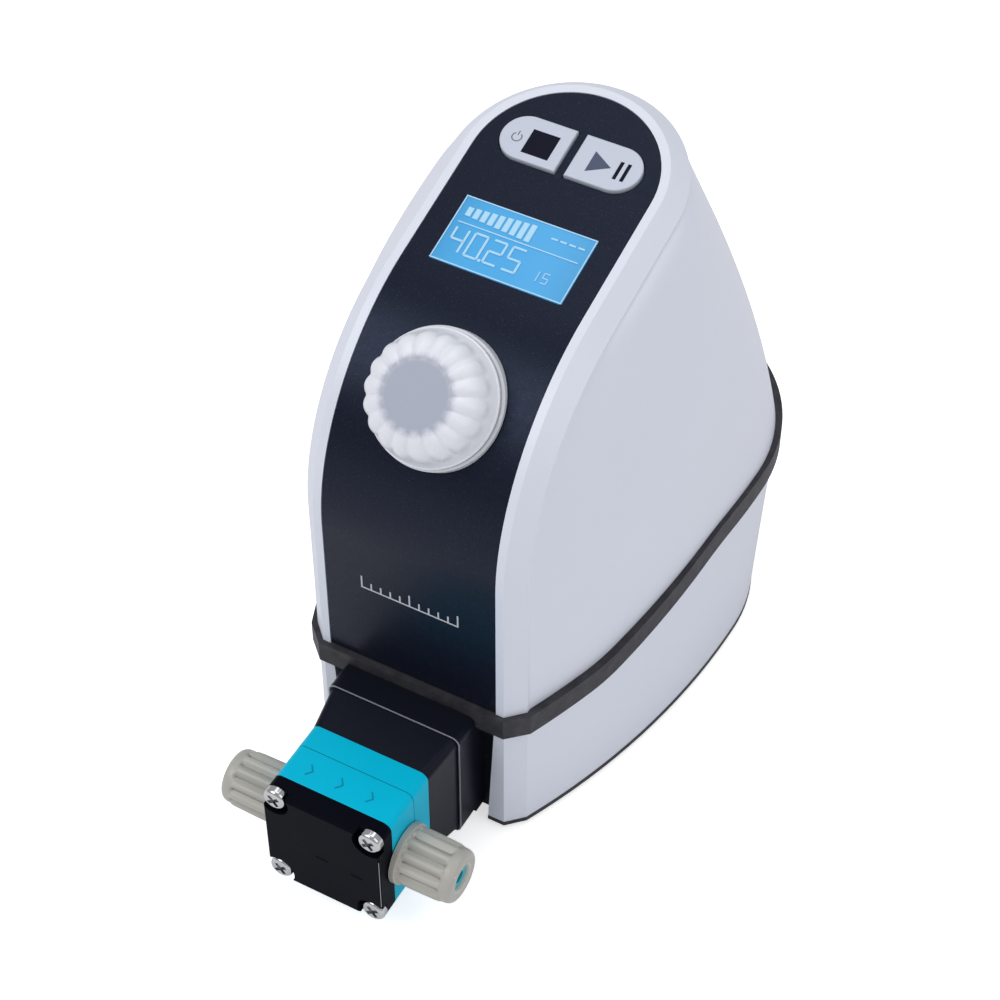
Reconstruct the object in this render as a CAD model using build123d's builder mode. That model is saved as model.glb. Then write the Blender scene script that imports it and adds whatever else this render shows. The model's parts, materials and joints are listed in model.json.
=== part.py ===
"""Diaphragm metering pump for the bench: arch-fronted housing, control panel, drive and pump head.

All lengths are millimetres.  X runs across the pump, the pump head looks along -Y, Z is up.
The origin lies on the ground under the middle of the pump.
"""
from build123d import *
from math import atan2, cos, radians, sin, sqrt, tan
import os

os.makedirs("parts", exist_ok=True)

# ---------------------------------------------------------------- driving dimensions
FOOT_HEIGHT = 1.5            # rubber feet below the base plate
BASE_PLATE = 1.2             # thickness of the base plate
WALL = 2.5                   # housing wall
SLIP = 0.3                   # gap round pieces that move in a hole
FIT = 0.05                   # radial gap of a running fit

HALF_WIDTH = 45.6            # widest half width of the housing
REAR_REACH = 136.6           # panel plane to the rear of the housing at the seam
REAR_LEAN_LOW = 7.0          # how far the rear foot of the lower housing is set in
REAR_LEAN_UP = 0.36          # slope of the upper housing's rear wall
REAR_BULGE = 0.0006          # its hollowness, per mm
SHOULDER_POWER = 2.6         # how late the side walls close in towards the arch

PANEL_HALF = 22.1            # half width of the black front panel
FRAME_HALF = 28.3            # half width of the frame round it
FRAME_CHAMFER = 4.0
PANEL_RISE = 82.0            # height at which the front starts to lean back
PANEL_BEND = 52.5            # radius of that bend
PANEL_LEAN = 74.0            # angle through which it leans back
ARCH_REACH = 69.6            # panel plane to the centre of the arch
PANEL_THICK = 1.35
SKIN = 2.5                   # housing skin behind the panel
RECESS = 1.5                 # depth of the panel's recess

SEAM_LOW = 34.8              # lower edge of the seam gasket at the front
SEAM_HIGH = 45.8             # and at the rear
SEAM_TALL = 6.2
SEAM_PROUD = 1.3
SEAM_STEP_START = 26.0       # panel plane to where the seam starts to climb
SEAM_STEP_END = 68.0

HEAD_Z = 20.6                # height of the head axis above the base plate's underside
PLATE_HALF = 15.4            # half side of the square head plates
FRONT_PLATE = 5.8
PORT_PLATE = 9.7
VALVE_PLATE = 6.5
PLATE_CORNER = 2.2
ADAPTER_NOSE = 10.6          # front step of the adapter
ADAPTER_BLOCK = 7.2          # rear step
ADAPTER_REAR = 1.6           # rear step to the panel plane
ADAPTER_NOSE_REAR = 16.9     # half side of the nose where it meets the rear step
ADAPTER_HALF = 17.6
SCREW_X = 12.5               # half spacing of the head screws
SCREW_Z = 13.0
SCREW_HEAD = 2.95
SCREW_HEAD_TALL = 2.1
SCREW_SEAT = 2.3             # depth of the corner recesses round the screw heads
SCREW_RECESS = 4.05          # and their radius
SCREW_SHANK = 1.5

NUT_RADIUS = 7.0
NUT_LENGTH = 15.1
NUT_RIBS = 12
NUT_COLLAR = 7.6             # radius of its collar
NUT_COLLAR_TALL = 1.5
NUT_END = 2.2                # smooth end beyond the grooves
NUT_GROOVE = 0.75            # radius of a groove
PORT_BORE = 1.6              # radius of the tube bore in the sleeve
PLATE_BORE = 1.2             # and of the way on into the port plate
PORT_STUB = 4.6
STUB_LENGTH = 9.0
NUT_Y = 30.8                 # panel plane to the port axis
NUT_PITCH = 1.25             # rise of the nut in one turn

STROKE_HALF = 1.0            # eccentricity of the drive
DIAPHRAGM_RADIUS = 12.0
CORE_RADIUS = 5.0

KNOB_ANGLE = 44.0            # place of the knob on the bend
KNOB_RADIUS = 14.7
KNOB_TALL = 9.6
KNOB_FLUTES = 22
RING_RADIUS = 15.75
KNOB_TRAVEL = 0.8

DISPLAY_REACH = 48.2         # panel plane to the middle of the display
DISPLAY_WIDE = 32.6
DISPLAY_TALL = 17.9
KEYS_UP = 27.4               # display middle to the key row, up the slope
KEYS_WIDE = 34.6
KEYS_TALL = 12.0
KEY_GAP = 2.35
KEY_PROUD = 0.8
KEY_TRAVEL = 0.6

# ---------------------------------------------------------------- derived places
HEAD_REACH = (ADAPTER_REAR + ADAPTER_BLOCK + ADAPTER_NOSE + VALVE_PLATE + PORT_PLATE
              + FRONT_PLATE)
FACE = -(REAR_REACH + SEAM_PROUD - HEAD_REACH) / 2     # y of the panel plane
BASE = FOOT_HEIGHT                                      # z of the base plate's underside
LEAN = radians(PANEL_LEAN)
SEAM_MID = SEAM_HIGH + SEAM_TALL / 2


def bend_point(angle, depth=0.0):
    """Point (y, z) of the front profile at an angle of the bend, depth below the panel surface."""
    a = radians(angle)
    r = PANEL_BEND - depth
    return FACE + PANEL_BEND - r * cos(a), BASE + PANEL_RISE + r * sin(a)


def slope_point(reach, depth=0.0):
    """Point (y, z) on the sloping top, reach along Y from the panel plane, depth below it."""
    y0, z0 = bend_point(PANEL_LEAN)
    y = FACE + reach
    z = z0 + (y - y0) / tan(LEAN)
    return y + depth * cos(LEAN), z - depth * sin(LEAN)


def slope_plane(reach, depth=0.0):
    """Work plane on the slope: x across, y up the slope, z out of the panel."""
    y, z = slope_point(reach, depth)
    return Plane(origin=(0, y, z), x_dir=(1, 0, 0), z_dir=(0, -cos(LEAN), sin(LEAN)))


def knob_plane(height=0.0):
    """Work plane square to the knob's axis."""
    a = radians(KNOB_ANGLE)
    y, z = bend_point(KNOB_ANGLE, -height)
    return Plane(origin=(0, y, z), x_dir=(1, 0, 0), z_dir=(0, -cos(a), sin(a)))


def front_profile(depth, foot, back):
    """Wires of the side outline of everything more than depth behind the panel surface."""
    start = bend_point(0, depth)
    mid = bend_point(PANEL_LEAN / 2, depth)
    end = bend_point(PANEL_LEAN, depth)
    top = slope_point(back, depth)
    Line((start[0], foot), start)
    ThreePointArc(start, mid, end)
    Line(end, top)
    Line(top, (top[0], foot))
    Line((top[0], foot), (start[0], foot))


def seam_line(lift, back):
    """Seam outline in the side view: level, a soft step, level again."""
    y0 = FACE + SEAM_STEP_START
    y1 = FACE + SEAM_STEP_END
    low = BASE + SEAM_LOW + lift
    high = BASE + SEAM_HIGH + lift
    return FilletPolyline((FACE - 20, low), (y0, low), (y1, high), (FACE + back, high), radius=40)


def side_arc(x, y, half, reach):
    """Middle point of the arc from a front corner to the widest place."""
    d = half - x
    e = reach - y
    r = (d * d + e * e) / (2 * d)
    turn = atan2(e, r - d) / 2
    return half - r + r * cos(turn), reach - r * sin(turn)


def plan_outline(half, rear, inset=0.0):
    """Plan of the lower housing: flat front, cut corners, side arcs and a round rear."""
    h = half - inset
    c = rear - half
    x = FRAME_HALF - inset
    x0 = FRAME_HALF - FRAME_CHAMFER - inset * tan(radians(22.5))
    y = FACE + inset
    y1 = FACE + FRAME_CHAMFER + inset * 0.6
    m = side_arc(x, y1, h, c)
    Line((-x0, y), (x0, y))
    Line((x0, y), (x, y1))
    ThreePointArc((x, y1), m, (h, c))
    ThreePointArc((h, c), (h * cos(QUARTER), c + h * sin(QUARTER)), (0, c + h))
    ThreePointArc((0, c + h), (-h * cos(QUARTER), c + h * sin(QUARTER)), (-h, c))
    ThreePointArc((-h, c), (-m[0], m[1]), (-x, y1))
    Line((-x, y1), (-x0, y))


QUARTER = radians(45)
CHEEK_DEPTH = FRAME_CHAMFER + 0.4
CHEEK_HALF = FRAME_HALF - 0.3
CHEEK_STATIONS = [(0, -46.0, 36.0), (0, -32.0, 50.5), (0, -16.0, 68.0), (0, 0.0, 87.0),
                  (20, 0.0, 107.0), (40, 0.0, 123.0), (58, 0.0, 135.5)]


def rear_y(z):
    """Rear wall of the upper housing at a height above the base."""
    d = z - SEAM_MID
    return FACE + REAR_REACH - REAR_LEAN_UP * d - REAR_BULGE * d * abs(d)


def half_width(z, top):
    """Half width of the upper housing at a height above the base."""
    u = max(0.0, (z - SEAM_MID) / (top - SEAM_MID))
    return HALF_WIDTH - (HALF_WIDTH - CHEEK_HALF) * u ** SHOULDER_POWER


def cheek_sections(inset, drop):
    """Sections of the upper housing's cheeks; inset thins them all round, drop lowers front and top."""
    depth = CHEEK_DEPTH + drop
    arch = slope_point(ARCH_REACH, depth)
    lines = []
    for angle, front_z, rear_z in CHEEK_STATIONS:
        front = bend_point(angle, depth)
        front = (front[0], front[1] + front_z)
        lines.append((front, (rear_y(rear_z) - inset, BASE + rear_z - drop * rear_z / 300), None))
    top_half = CHEEK_HALF - inset
    top_rear = (arch[0] + top_half * sin(LEAN), arch[1] + top_half * cos(LEAN))
    lines.append((bend_point(PANEL_LEAN, depth), top_rear, top_half))
    sections = []
    for front, rear, half in lines:
        tilt = atan2(rear[1] - front[1], rear[0] - front[0])
        length = sqrt((rear[0] - front[0]) ** 2 + (rear[1] - front[1]) ** 2)
        if half is None:
            side_z = rear[1] - HALF_WIDTH * sin(tilt) - BASE
            half = half_width(side_z, arch[1] - BASE) - inset
        x = CHEEK_HALF - inset - 0.02
        c = length - half
        diagonal = (half * cos(QUARTER), c + half * sin(QUARTER))
        middle = side_arc(x, 0, half + 0.02, c)
        with BuildSketch(Plane(origin=(0, *front), x_dir=(1, 0, 0),
                               z_dir=(0, -sin(tilt), cos(tilt)))) as section:
            with BuildLine():
                Line((-x, 0), (x, 0))
                ThreePointArc((x, 0), middle, (half, c))
                ThreePointArc((half, c), diagonal, (0, c + half))
                ThreePointArc((0, c + half), (-diagonal[0], diagonal[1]), (-half, c))
                ThreePointArc((-half, c), (-middle[0], middle[1]), (-x, 0))
            make_face()
        sections.append(section.sketch)
    return sections


def arch_prism(half, reach=120):
    """Everything inside an arch outline of a half width, square to the slope."""
    with BuildPart() as prism:
        with BuildSketch(slope_plane(ARCH_REACH)):
            Circle(half)
            with Locations((0, -100)):
                Rectangle(2 * half, 200)
        extrude(amount=reach, both=True)
    return prism.part



def at(y, z=0.0):
    """Plane facing forward (-Y) at a distance behind the panel plane; its v axis is up from the head axis."""
    return Plane(origin=(0, FACE + y, BASE + HEAD_Z + z), x_dir=(1, 0, 0), z_dir=(0, -1, 0))


def floor(z):
    """Level plane at a height above the underside of the base plate, v measured from the panel plane."""
    return Plane(origin=(0, FACE, BASE + z), x_dir=(1, 0, 0), z_dir=(0, 0, 1))


def finish(builder, label):
    """Name a piece and write it."""
    builder.part.label = label
    export_step(builder.part, "parts/" + label + ".step")


def seam_region(lift_low, lift_high, back=200.0):
    """Slab across the pump between two copies of the seam line, or below one of them."""
    with BuildPart() as region:
        with BuildSketch(Plane.YZ):
            with BuildLine():
                upper = seam_line(lift_high, back)
                if lift_low is None:
                    Line(upper @ 1, (FACE + back, BASE - 5))
                    Line((FACE + back, BASE - 5), (FACE - 20, BASE - 5))
                    Line((FACE - 20, BASE - 5), upper @ 0)
                else:
                    lower = seam_line(lift_low, back)
                    Line(upper @ 1, lower @ 1)
                    Line(upper @ 0, lower @ 0)
            make_face()
        extrude(amount=70, both=True)
    return region.part


def housing_column(height_low, height_high, inset):
    """Plan form of the lower housing between two heights, leaning out towards the rear."""
    with BuildPart() as column:
        for height in (height_low, height_high):
            set_in = REAR_LEAN_LOW * (1 - height / SEAM_MID)
            with BuildSketch(Plane.XY.offset(BASE + height)):
                with BuildLine():
                    plan_outline(HALF_WIDTH, FACE + REAR_REACH - set_in, inset)
                make_face()
        loft(ruled=True)
    return column.part


# ---------------------------------------------------------------- lower housing
RECESS_DEEP = 5.5            # front recess that takes the adapter's flange
RECESS_TOP = 21.2            # its half width at the seam
RECESS_FOOT = 19.4           # and at the foot
REAR_POCKET = (44.0, 30.0)   # flat pocket for the sockets, wide and tall
POCKET_Z = 25.0
POCKET_Y = 122.0
BOSS = 4.5
BOSS_FRONT = (32.0, 30.0)    # x and distance behind the panel plane
BOSS_REAR = (33.5, 106.5)
CASE_SCREW = 1.6
POWER_X = -11.0
POWER_HOLE = 5.6
SIGNAL_X = 10.0
SIGNAL_HOLE = 7.2
WINDOW_HALF = 13.6
BOSSES = [(side * x, y) for side in (-1, 1) for x, y in (BOSS_FRONT, BOSS_REAR)]
DRIVE_SCREW = 1.5
DRIVE_SCREWS = [(x, z) for x in (-17.0, 17.0) for z in (-11.0, 8.5)]
DRIVE_FRONT = RECESS_DEEP + WALL


def recess_cut(clear=0.0):
    """Wedge that opens the front of the lower housing."""
    with BuildPart() as cut:
        with BuildSketch(Plane.XZ.offset(-(FACE + RECESS_DEEP))):
            foot = RECESS_FOOT - clear
            top = RECESS_TOP - clear
            z1 = BASE + SEAM_LOW + 12
            spread = (top - foot) * (z1 - BASE + 10) / SEAM_LOW
            Polygon((-foot, BASE - 10), (foot, BASE - 10), (foot + spread, z1), (-foot - spread, z1),
                    align=None)
        extrude(amount=40)
    return cut.part


with BuildPart() as lower_housing:
    add(housing_column(BASE_PLATE, SEAM_HIGH + 4, 0.0))
    add(housing_column(BASE_PLATE - 1, SEAM_HIGH + 5, WALL), mode=Mode.SUBTRACT)
    with BuildSketch(floor(BASE_PLATE)):
        with Locations((0, RECESS_DEEP / 2 + WALL / 2 + 0.5)):
            Rectangle(2 * (RECESS_TOP + 2.2), RECESS_DEEP + WALL - 1)
    extrude(amount=SEAM_LOW + 4)
    with BuildSketch(floor(BASE_PLATE)):
        with Locations(*BOSSES):
            Circle(BOSS)
    extrude(amount=SEAM_LOW - 6)
    with BuildSketch(floor(POCKET_Z - REAR_POCKET[1] / 2 - WALL)):
        with Locations((0, POCKET_Y + 2)):
            Rectangle(REAR_POCKET[0] + 2 * WALL, 4 + 2 * WALL)
    extrude(amount=REAR_POCKET[1] + 2 * WALL - 4)
    add(housing_column(BASE_PLATE, SEAM_HIGH + 4, 0.0), mode=Mode.INTERSECT)
    add(recess_cut(), mode=Mode.SUBTRACT)
    with BuildSketch(Plane.XZ.offset(-(FACE + POCKET_Y))):
        with Locations((0, BASE + POCKET_Z - 2)):
            RectangleRounded(REAR_POCKET[0], REAR_POCKET[1] - 4, 3)
    extrude(amount=-30, mode=Mode.SUBTRACT)
    with BuildSketch(Plane.XZ.offset(-(FACE + POCKET_Y - 6))):
        with Locations((POWER_X, BASE + POCKET_Z - 2)):
            Circle(POWER_HOLE)
        with Locations((SIGNAL_X, BASE + POCKET_Z - 2)):
            Circle(SIGNAL_HOLE)
    extrude(amount=-12, mode=Mode.SUBTRACT)
    with BuildSketch(Plane.XZ.offset(-FACE)):
        with Locations((0, BASE + HEAD_Z)):
            RectangleRounded(2 * WINDOW_HALF, 2 * (WINDOW_HALF - 1), 3)
    extrude(amount=-(RECESS_DEEP + 6), mode=Mode.SUBTRACT)
    with BuildSketch(at(0)):
        with Locations(*DRIVE_SCREWS):
            Circle(DRIVE_SCREW + 0.2)
    extrude(amount=-(DRIVE_FRONT + 1), mode=Mode.SUBTRACT)
    with BuildSketch(floor(-1)):
        with Locations(*BOSSES):
            Circle(CASE_SCREW + 0.2)
    extrude(amount=SEAM_LOW + 20, mode=Mode.SUBTRACT)
    add(seam_region(None, 0.0), mode=Mode.INTERSECT)
finish(lower_housing, "lower_housing")

# ---------------------------------------------------------------- base plate, feet
with BuildPart() as base_plate:
    with BuildSketch(Plane.XY.offset(BASE)):
        with BuildLine():
            plan_outline(HALF_WIDTH, FACE + REAR_REACH - REAR_LEAN_LOW, -0.15)
        make_face()
        with Locations(*[(x, FACE + y) for x, y in BOSSES]):
            Circle(CASE_SCREW + 0.2, mode=Mode.SUBTRACT)
    extrude(amount=BASE_PLATE)
    add(recess_cut(), mode=Mode.SUBTRACT)
finish(base_plate, "base_plate")

FOOT_RADIUS = 5.0
FEET = [(side * x, y) for side in (-1, 1) for x, y in ((24.0, 18.0), (24.0, 104.0))]
with BuildPart() as rubber_feet:
    with BuildSketch(Plane.XY):
        with Locations(*[(x, FACE + y) for x, y in FEET]):
            Circle(FOOT_RADIUS)
    extrude(amount=FOOT_HEIGHT)
finish(rubber_feet, "rubber_feet")

# ---------------------------------------------------------------- seam gasket
with BuildPart() as seam_gasket:
    with BuildSketch(Plane.XY.offset(BASE + SEAM_LOW - 4)):
        with BuildLine():
            plan_outline(HALF_WIDTH, FACE + REAR_REACH, -SEAM_PROUD)
        make_face()
    extrude(amount=SEAM_HIGH - SEAM_LOW + SEAM_TALL + 8)
    with BuildSketch(Plane.XY.offset(BASE + SEAM_LOW - 5)):
        with BuildLine():
            plan_outline(HALF_WIDTH, FACE + REAR_REACH, WALL)
        make_face()
    extrude(amount=SEAM_HIGH - SEAM_LOW + SEAM_TALL + 12, mode=Mode.SUBTRACT)
    add(seam_region(0.0, SEAM_TALL), mode=Mode.INTERSECT)
finish(seam_gasket, "seam_gasket")

# ---------------------------------------------------------------- upper housing
KEY_HALF_LENGTH = KEYS_WIDE / 2


def panel_band(near, far, half, foot):
    """Layer under the panel surface between two depths, inside an arch outline."""
    with BuildPart() as band:
        with BuildSketch(Plane.YZ):
            with BuildLine():
                front_profile(near, foot, 120)
            make_face()
            with BuildSketch(mode=Mode.PRIVATE) as inner:
                with BuildLine():
                    front_profile(far, foot - 10, 125)
                make_face()
            add(inner.sketch, mode=Mode.SUBTRACT)
        extrude(amount=half + 5, both=True)
        add(arch_prism(half), mode=Mode.INTERSECT)
    return band.part


def key_outline(side, grow=0.0):
    """Half a stadium: one key of the pair; side is -1 or 1."""
    r = KEYS_TALL / 2 + grow
    inner = KEY_GAP / 2 - grow
    centre = KEY_HALF_LENGTH - KEYS_TALL / 2
    Line((side * inner, KEYS_UP - r), (side * centre, KEYS_UP - r))
    ThreePointArc((side * centre, KEYS_UP - r), (side * (centre + r), KEYS_UP),
                  (side * centre, KEYS_UP + r))
    Line((side * centre, KEYS_UP + r), (side * inner, KEYS_UP + r))
    Line((side * inner, KEYS_UP + r), (side * inner, KEYS_UP - r))


def key_slots(grow, depth_from, depth_to):
    """Two key shaped prisms, for the keys' holes."""
    with BuildPart() as slots:
        for side in (-1, 1):
            with BuildSketch(slope_plane(DISPLAY_REACH, depth_from)):
                with BuildLine():
                    key_outline(side, grow)
                make_face()
            extrude(amount=-(depth_to - depth_from))
    return slots.part



BOARD_DEPTH = 8.5            # control board below the panel surface
BOARD_HALF = 22.0
BOARD_LOW = -14.5
BOARD_HIGH = 40.0
BOARD_POSTS = [(-19.6, -11.5), (19.6, -11.5), (-12.5, 37.2), (12.5, 37.2)]
POST_RADIUS = 2.2
BUSHING = 3.4                # encoder bushing

with BuildPart() as spine:
    with BuildSketch(Plane.YZ):
        with BuildLine():
            front_profile(0.0, BASE + SEAM_LOW - 4, 110)
        make_face()
    extrude(amount=FRAME_HALF, both=True)
    add(arch_prism(FRAME_HALF), mode=Mode.INTERSECT)
    front_faces = spine.faces().filter_by(lambda f: f.normal_at().Y < -0.2 and abs(f.normal_at().X) < 0.1)
    outline = [e for e in front_faces.edges() if abs(e.center().X) > FRAME_HALF - 0.01
               or (e.geom_type == GeomType.CIRCLE and abs(e.radius - FRAME_HALF) < 0.01)]
    chamfer(outline, FRAME_CHAMFER)

with BuildPart() as front_hollow:
    with BuildSketch(Plane.YZ):
        with BuildLine():
            front_profile(RECESS + SKIN, BASE + SEAM_LOW - 6, 110)
        make_face()
    extrude(amount=PANEL_HALF + 0.5, both=True)
    add(arch_prism(PANEL_HALF + 0.5), mode=Mode.INTERSECT)

with BuildPart() as posts:
    with BuildSketch(slope_plane(DISPLAY_REACH, RECESS + SKIN - 0.5)):
        with Locations(*BOARD_POSTS):
            Circle(POST_RADIUS)
    extrude(amount=-(BOARD_DEPTH - RECESS - SKIN + 0.5))

with BuildPart() as upper_housing:
    loft(cheek_sections(0.0, 0.0))
    add(spine.part)
    loft(cheek_sections(WALL, 1.2), mode=Mode.SUBTRACT)
    add(front_hollow.part, mode=Mode.SUBTRACT)
    add(posts.part)
    with BuildSketch(floor(SEAM_LOW)):
        with Locations(*BOSSES):
            Circle(BOSS)
    extrude(amount=SEAM_HIGH - SEAM_LOW + SEAM_TALL + 12)
    add(panel_band(-3.0, RECESS, PANEL_HALF + 0.15, BASE + SEAM_LOW), mode=Mode.SUBTRACT)
    with BuildSketch(slope_plane(DISPLAY_REACH, RECESS - 0.2)):
        RectangleRounded(DISPLAY_WIDE - 3, DISPLAY_TALL - 3, 1)
    extrude(amount=-(SKIN + 1), mode=Mode.SUBTRACT)
    add(key_slots(SLIP, 0.0, RECESS + SKIN + 1), mode=Mode.SUBTRACT)
    with BuildSketch(knob_plane(2)):
        Circle(BUSHING + SLIP)
    extrude(amount=-12, mode=Mode.SUBTRACT)
    with BuildSketch(floor(SEAM_LOW)):
        with Locations(*BOSSES):
            Circle(CASE_SCREW)
    extrude(amount=SEAM_HIGH - SEAM_LOW + SEAM_TALL + 8, mode=Mode.SUBTRACT)
    add(seam_region(None, SEAM_TALL), mode=Mode.SUBTRACT)
finish(upper_housing, "upper_housing")

# ---------------------------------------------------------------- front panel, display, keys
PANEL_FOOT = SEAM_LOW + SEAM_TALL + 0.3
with BuildPart() as front_panel:
    add(panel_band(RECESS - PANEL_THICK, RECESS, PANEL_HALF, BASE + PANEL_FOOT))
    with BuildSketch(slope_plane(DISPLAY_REACH)):
        RectangleRounded(DISPLAY_WIDE + 0.2, DISPLAY_TALL + 0.2, 0.6)
    extrude(amount=-4, mode=Mode.SUBTRACT)
    add(key_slots(SLIP, -1.0, 4.0), mode=Mode.SUBTRACT)
    with BuildSketch(knob_plane(2)):
        Circle(BUSHING + SLIP)
    extrude(amount=-8, mode=Mode.SUBTRACT)
finish(front_panel, "front_panel")

with BuildPart() as display_lens:
    with BuildSketch(slope_plane(DISPLAY_REACH, RECESS)):
        RectangleRounded(DISPLAY_WIDE, DISPLAY_TALL, 0.5)
    extrude(amount=PANEL_THICK + 0.1)
finish(display_lens, "display_lens")

with BuildPart() as display_module:
    with BuildSketch(slope_plane(DISPLAY_REACH, BOARD_DEPTH)):
        RectangleRounded(DISPLAY_WIDE + 3, DISPLAY_TALL + 4, 1)
    extrude(amount=BOARD_DEPTH - RECESS - SKIN)
    with BuildSketch(slope_plane(DISPLAY_REACH, RECESS + SKIN)):
        Rectangle(DISPLAY_WIDE - 4, DISPLAY_TALL - 4)
    extrude(amount=SKIN)
finish(display_module, "display_module")

KEY_FLANGE = 0.9
for label, side in (("stop_key", -1), ("start_key", 1)):
    with BuildPart() as key:
        with BuildSketch(slope_plane(DISPLAY_REACH, -KEY_PROUD)):
            with BuildLine():
                key_outline(side)
            make_face()
        extrude(amount=-(KEY_PROUD + RECESS + SKIN + 0.3))
        crown = key.faces().sort_by(Axis((0, 0, 0), slope_plane(0).z_dir))[-1]
        fillet(crown.edges(), 0.4)
        with BuildSketch(slope_plane(DISPLAY_REACH, RECESS + SKIN + 0.15)):
            with BuildLine():
                key_outline(side, KEY_FLANGE)
            make_face()
        extrude(amount=-0.7)
    finish(key, label)

SWITCH_X = 9.6
SWITCH_BODY = 2.2
with BuildPart() as key_switches:
    with BuildSketch(slope_plane(DISPLAY_REACH, BOARD_DEPTH)):
        with Locations((-SWITCH_X, KEYS_UP), (SWITCH_X, KEYS_UP)):
            Rectangle(6, 6)
    extrude(amount=SWITCH_BODY)
    with BuildSketch(slope_plane(DISPLAY_REACH, BOARD_DEPTH - SWITCH_BODY)):
        with Locations((-SWITCH_X, KEYS_UP), (SWITCH_X, KEYS_UP)):
            Circle(1.6)
    extrude(amount=0.5)
finish(key_switches, "key_switches")

with BuildPart() as control_board:
    with BuildSketch(slope_plane(DISPLAY_REACH, BOARD_DEPTH)):
        with Locations((0, (BOARD_LOW + BOARD_HIGH) / 2)):
            RectangleRounded(2 * BOARD_HALF, BOARD_HIGH - BOARD_LOW, 12)
        with Locations(*BOARD_POSTS):
            Circle(1.1, mode=Mode.SUBTRACT)
    extrude(amount=-1.6)
finish(control_board, "control_board")

with BuildPart() as board_screws:
    with BuildSketch(slope_plane(DISPLAY_REACH, BOARD_DEPTH + 1.6)):
        with Locations(*BOARD_POSTS):
            Circle(1.9)
    extrude(amount=-1.4)
    with BuildSketch(slope_plane(DISPLAY_REACH, BOARD_DEPTH + 1.6)):
        with Locations(*BOARD_POSTS):
            Circle(1.05)
    extrude(amount=1.6)
finish(board_screws, "board_screws")

# ---------------------------------------------------------------- knob and encoder
RING_TOP = 1.3
KNOB_FOOT = RING_TOP + KNOB_TRAVEL + 0.4
SHAFT_RADIUS = 3.0
SKIRT_TALL = 3.4             # straight foot of the knob
CROWN_RADIUS = 7.0
SOCKET_WALL = 4.8
FLUTE_RADIUS = 2.6
FLUTE_TRACK = [(KNOB_RADIUS + 1.7, KNOB_FOOT - 1, 0), (KNOB_RADIUS + 1.4, KNOB_FOOT + SKIRT_TALL, 4),
               (12.4, KNOB_FOOT + KNOB_TALL, 14), (8.4, KNOB_FOOT + KNOB_TALL + 2.5, 26)]
ENCODER_TOP = RECESS + SKIN + 0.45
ENCODER_TALL = 7.0
BUSHING_TOP = 2.3
CHAMBER = 6.0                # depth of the encoder's bore

with BuildPart() as knob_ring:
    with BuildSketch(knob_plane(RING_TOP)):
        Circle(RING_RADIUS)
        Circle(7.5, mode=Mode.SUBTRACT)
    extrude(amount=-5)
    chamfer(knob_ring.faces().sort_by(Axis((0, 0, 0), knob_plane().z_dir))[-1].outer_wire().edges(), 0.5)
    with BuildSketch(Plane.YZ) as under:
        with BuildLine():
            front_profile(RECESS - PANEL_THICK, BASE + SEAM_LOW, 110)
        make_face()
    extrude(amount=40, both=True, mode=Mode.SUBTRACT)
finish(knob_ring, "knob_ring")


def knob_section():
    """Plane through the knob's axis: x across, y along the axis."""
    plane = knob_plane()
    return Plane(origin=plane.origin, x_dir=(1, 0, 0), z_dir=Vector(1, 0, 0).cross(plane.z_dir))


with BuildPart(knob_plane()) as knob:
    with BuildSketch(knob_section()):
        with BuildLine():
            Line((0, KNOB_FOOT), (KNOB_RADIUS, KNOB_FOOT))
            Line((KNOB_RADIUS, KNOB_FOOT), (KNOB_RADIUS - 0.3, KNOB_FOOT + SKIRT_TALL))
            Spline((KNOB_RADIUS - 0.3, KNOB_FOOT + SKIRT_TALL), (KNOB_RADIUS - 3.6, KNOB_FOOT + 8.3),
                   (CROWN_RADIUS, KNOB_FOOT + KNOB_TALL), tangents=((-0.1, 1), (-1, 0)))
            Line((CROWN_RADIUS, KNOB_FOOT + KNOB_TALL), (0, KNOB_FOOT + KNOB_TALL))
            Line((0, KNOB_FOOT + KNOB_TALL), (0, KNOB_FOOT))
        make_face()
    revolve(axis=Axis(knob_plane().origin, knob_plane().z_dir))
    track = [Vector(radius, 0, height).rotate(Axis.Z, swirl) for radius, height, swirl in FLUTE_TRACK]
    course = Edge.make_spline(track)
    mouth = Wire.make_circle(FLUTE_RADIUS, Plane(origin=track[0], z_dir=course.tangent_at(0)))
    flute = Solid.sweep(Face(mouth), course)
    with PolarLocations(0, KNOB_FLUTES):
        add(flute, mode=Mode.SUBTRACT)
    with BuildSketch(knob_plane(KNOB_FOOT)):
        Circle(KNOB_RADIUS - 3.6)
        Circle(SOCKET_WALL, mode=Mode.SUBTRACT)
    extrude(amount=5.0, mode=Mode.SUBTRACT)
    with BuildSketch(knob_plane(KNOB_FOOT)):
        Circle(SOCKET_WALL)
    extrude(amount=1.6, mode=Mode.SUBTRACT)
    with BuildSketch(knob_plane(KNOB_FOOT)):
        Circle(SHAFT_RADIUS)
    extrude(amount=KNOB_TALL - 2.4, mode=Mode.SUBTRACT)
finish(knob, "knob")

SHAFT_TOP = KNOB_FOOT + KNOB_TALL - 2.4
SHAFT_FOOT = ENCODER_TOP + 3.2
with BuildPart() as encoder_shaft:
    with BuildSketch(knob_plane(-SHAFT_FOOT)):
        Circle(SHAFT_RADIUS)
    extrude(amount=SHAFT_TOP + SHAFT_FOOT)
finish(encoder_shaft, "encoder_shaft")

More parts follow.
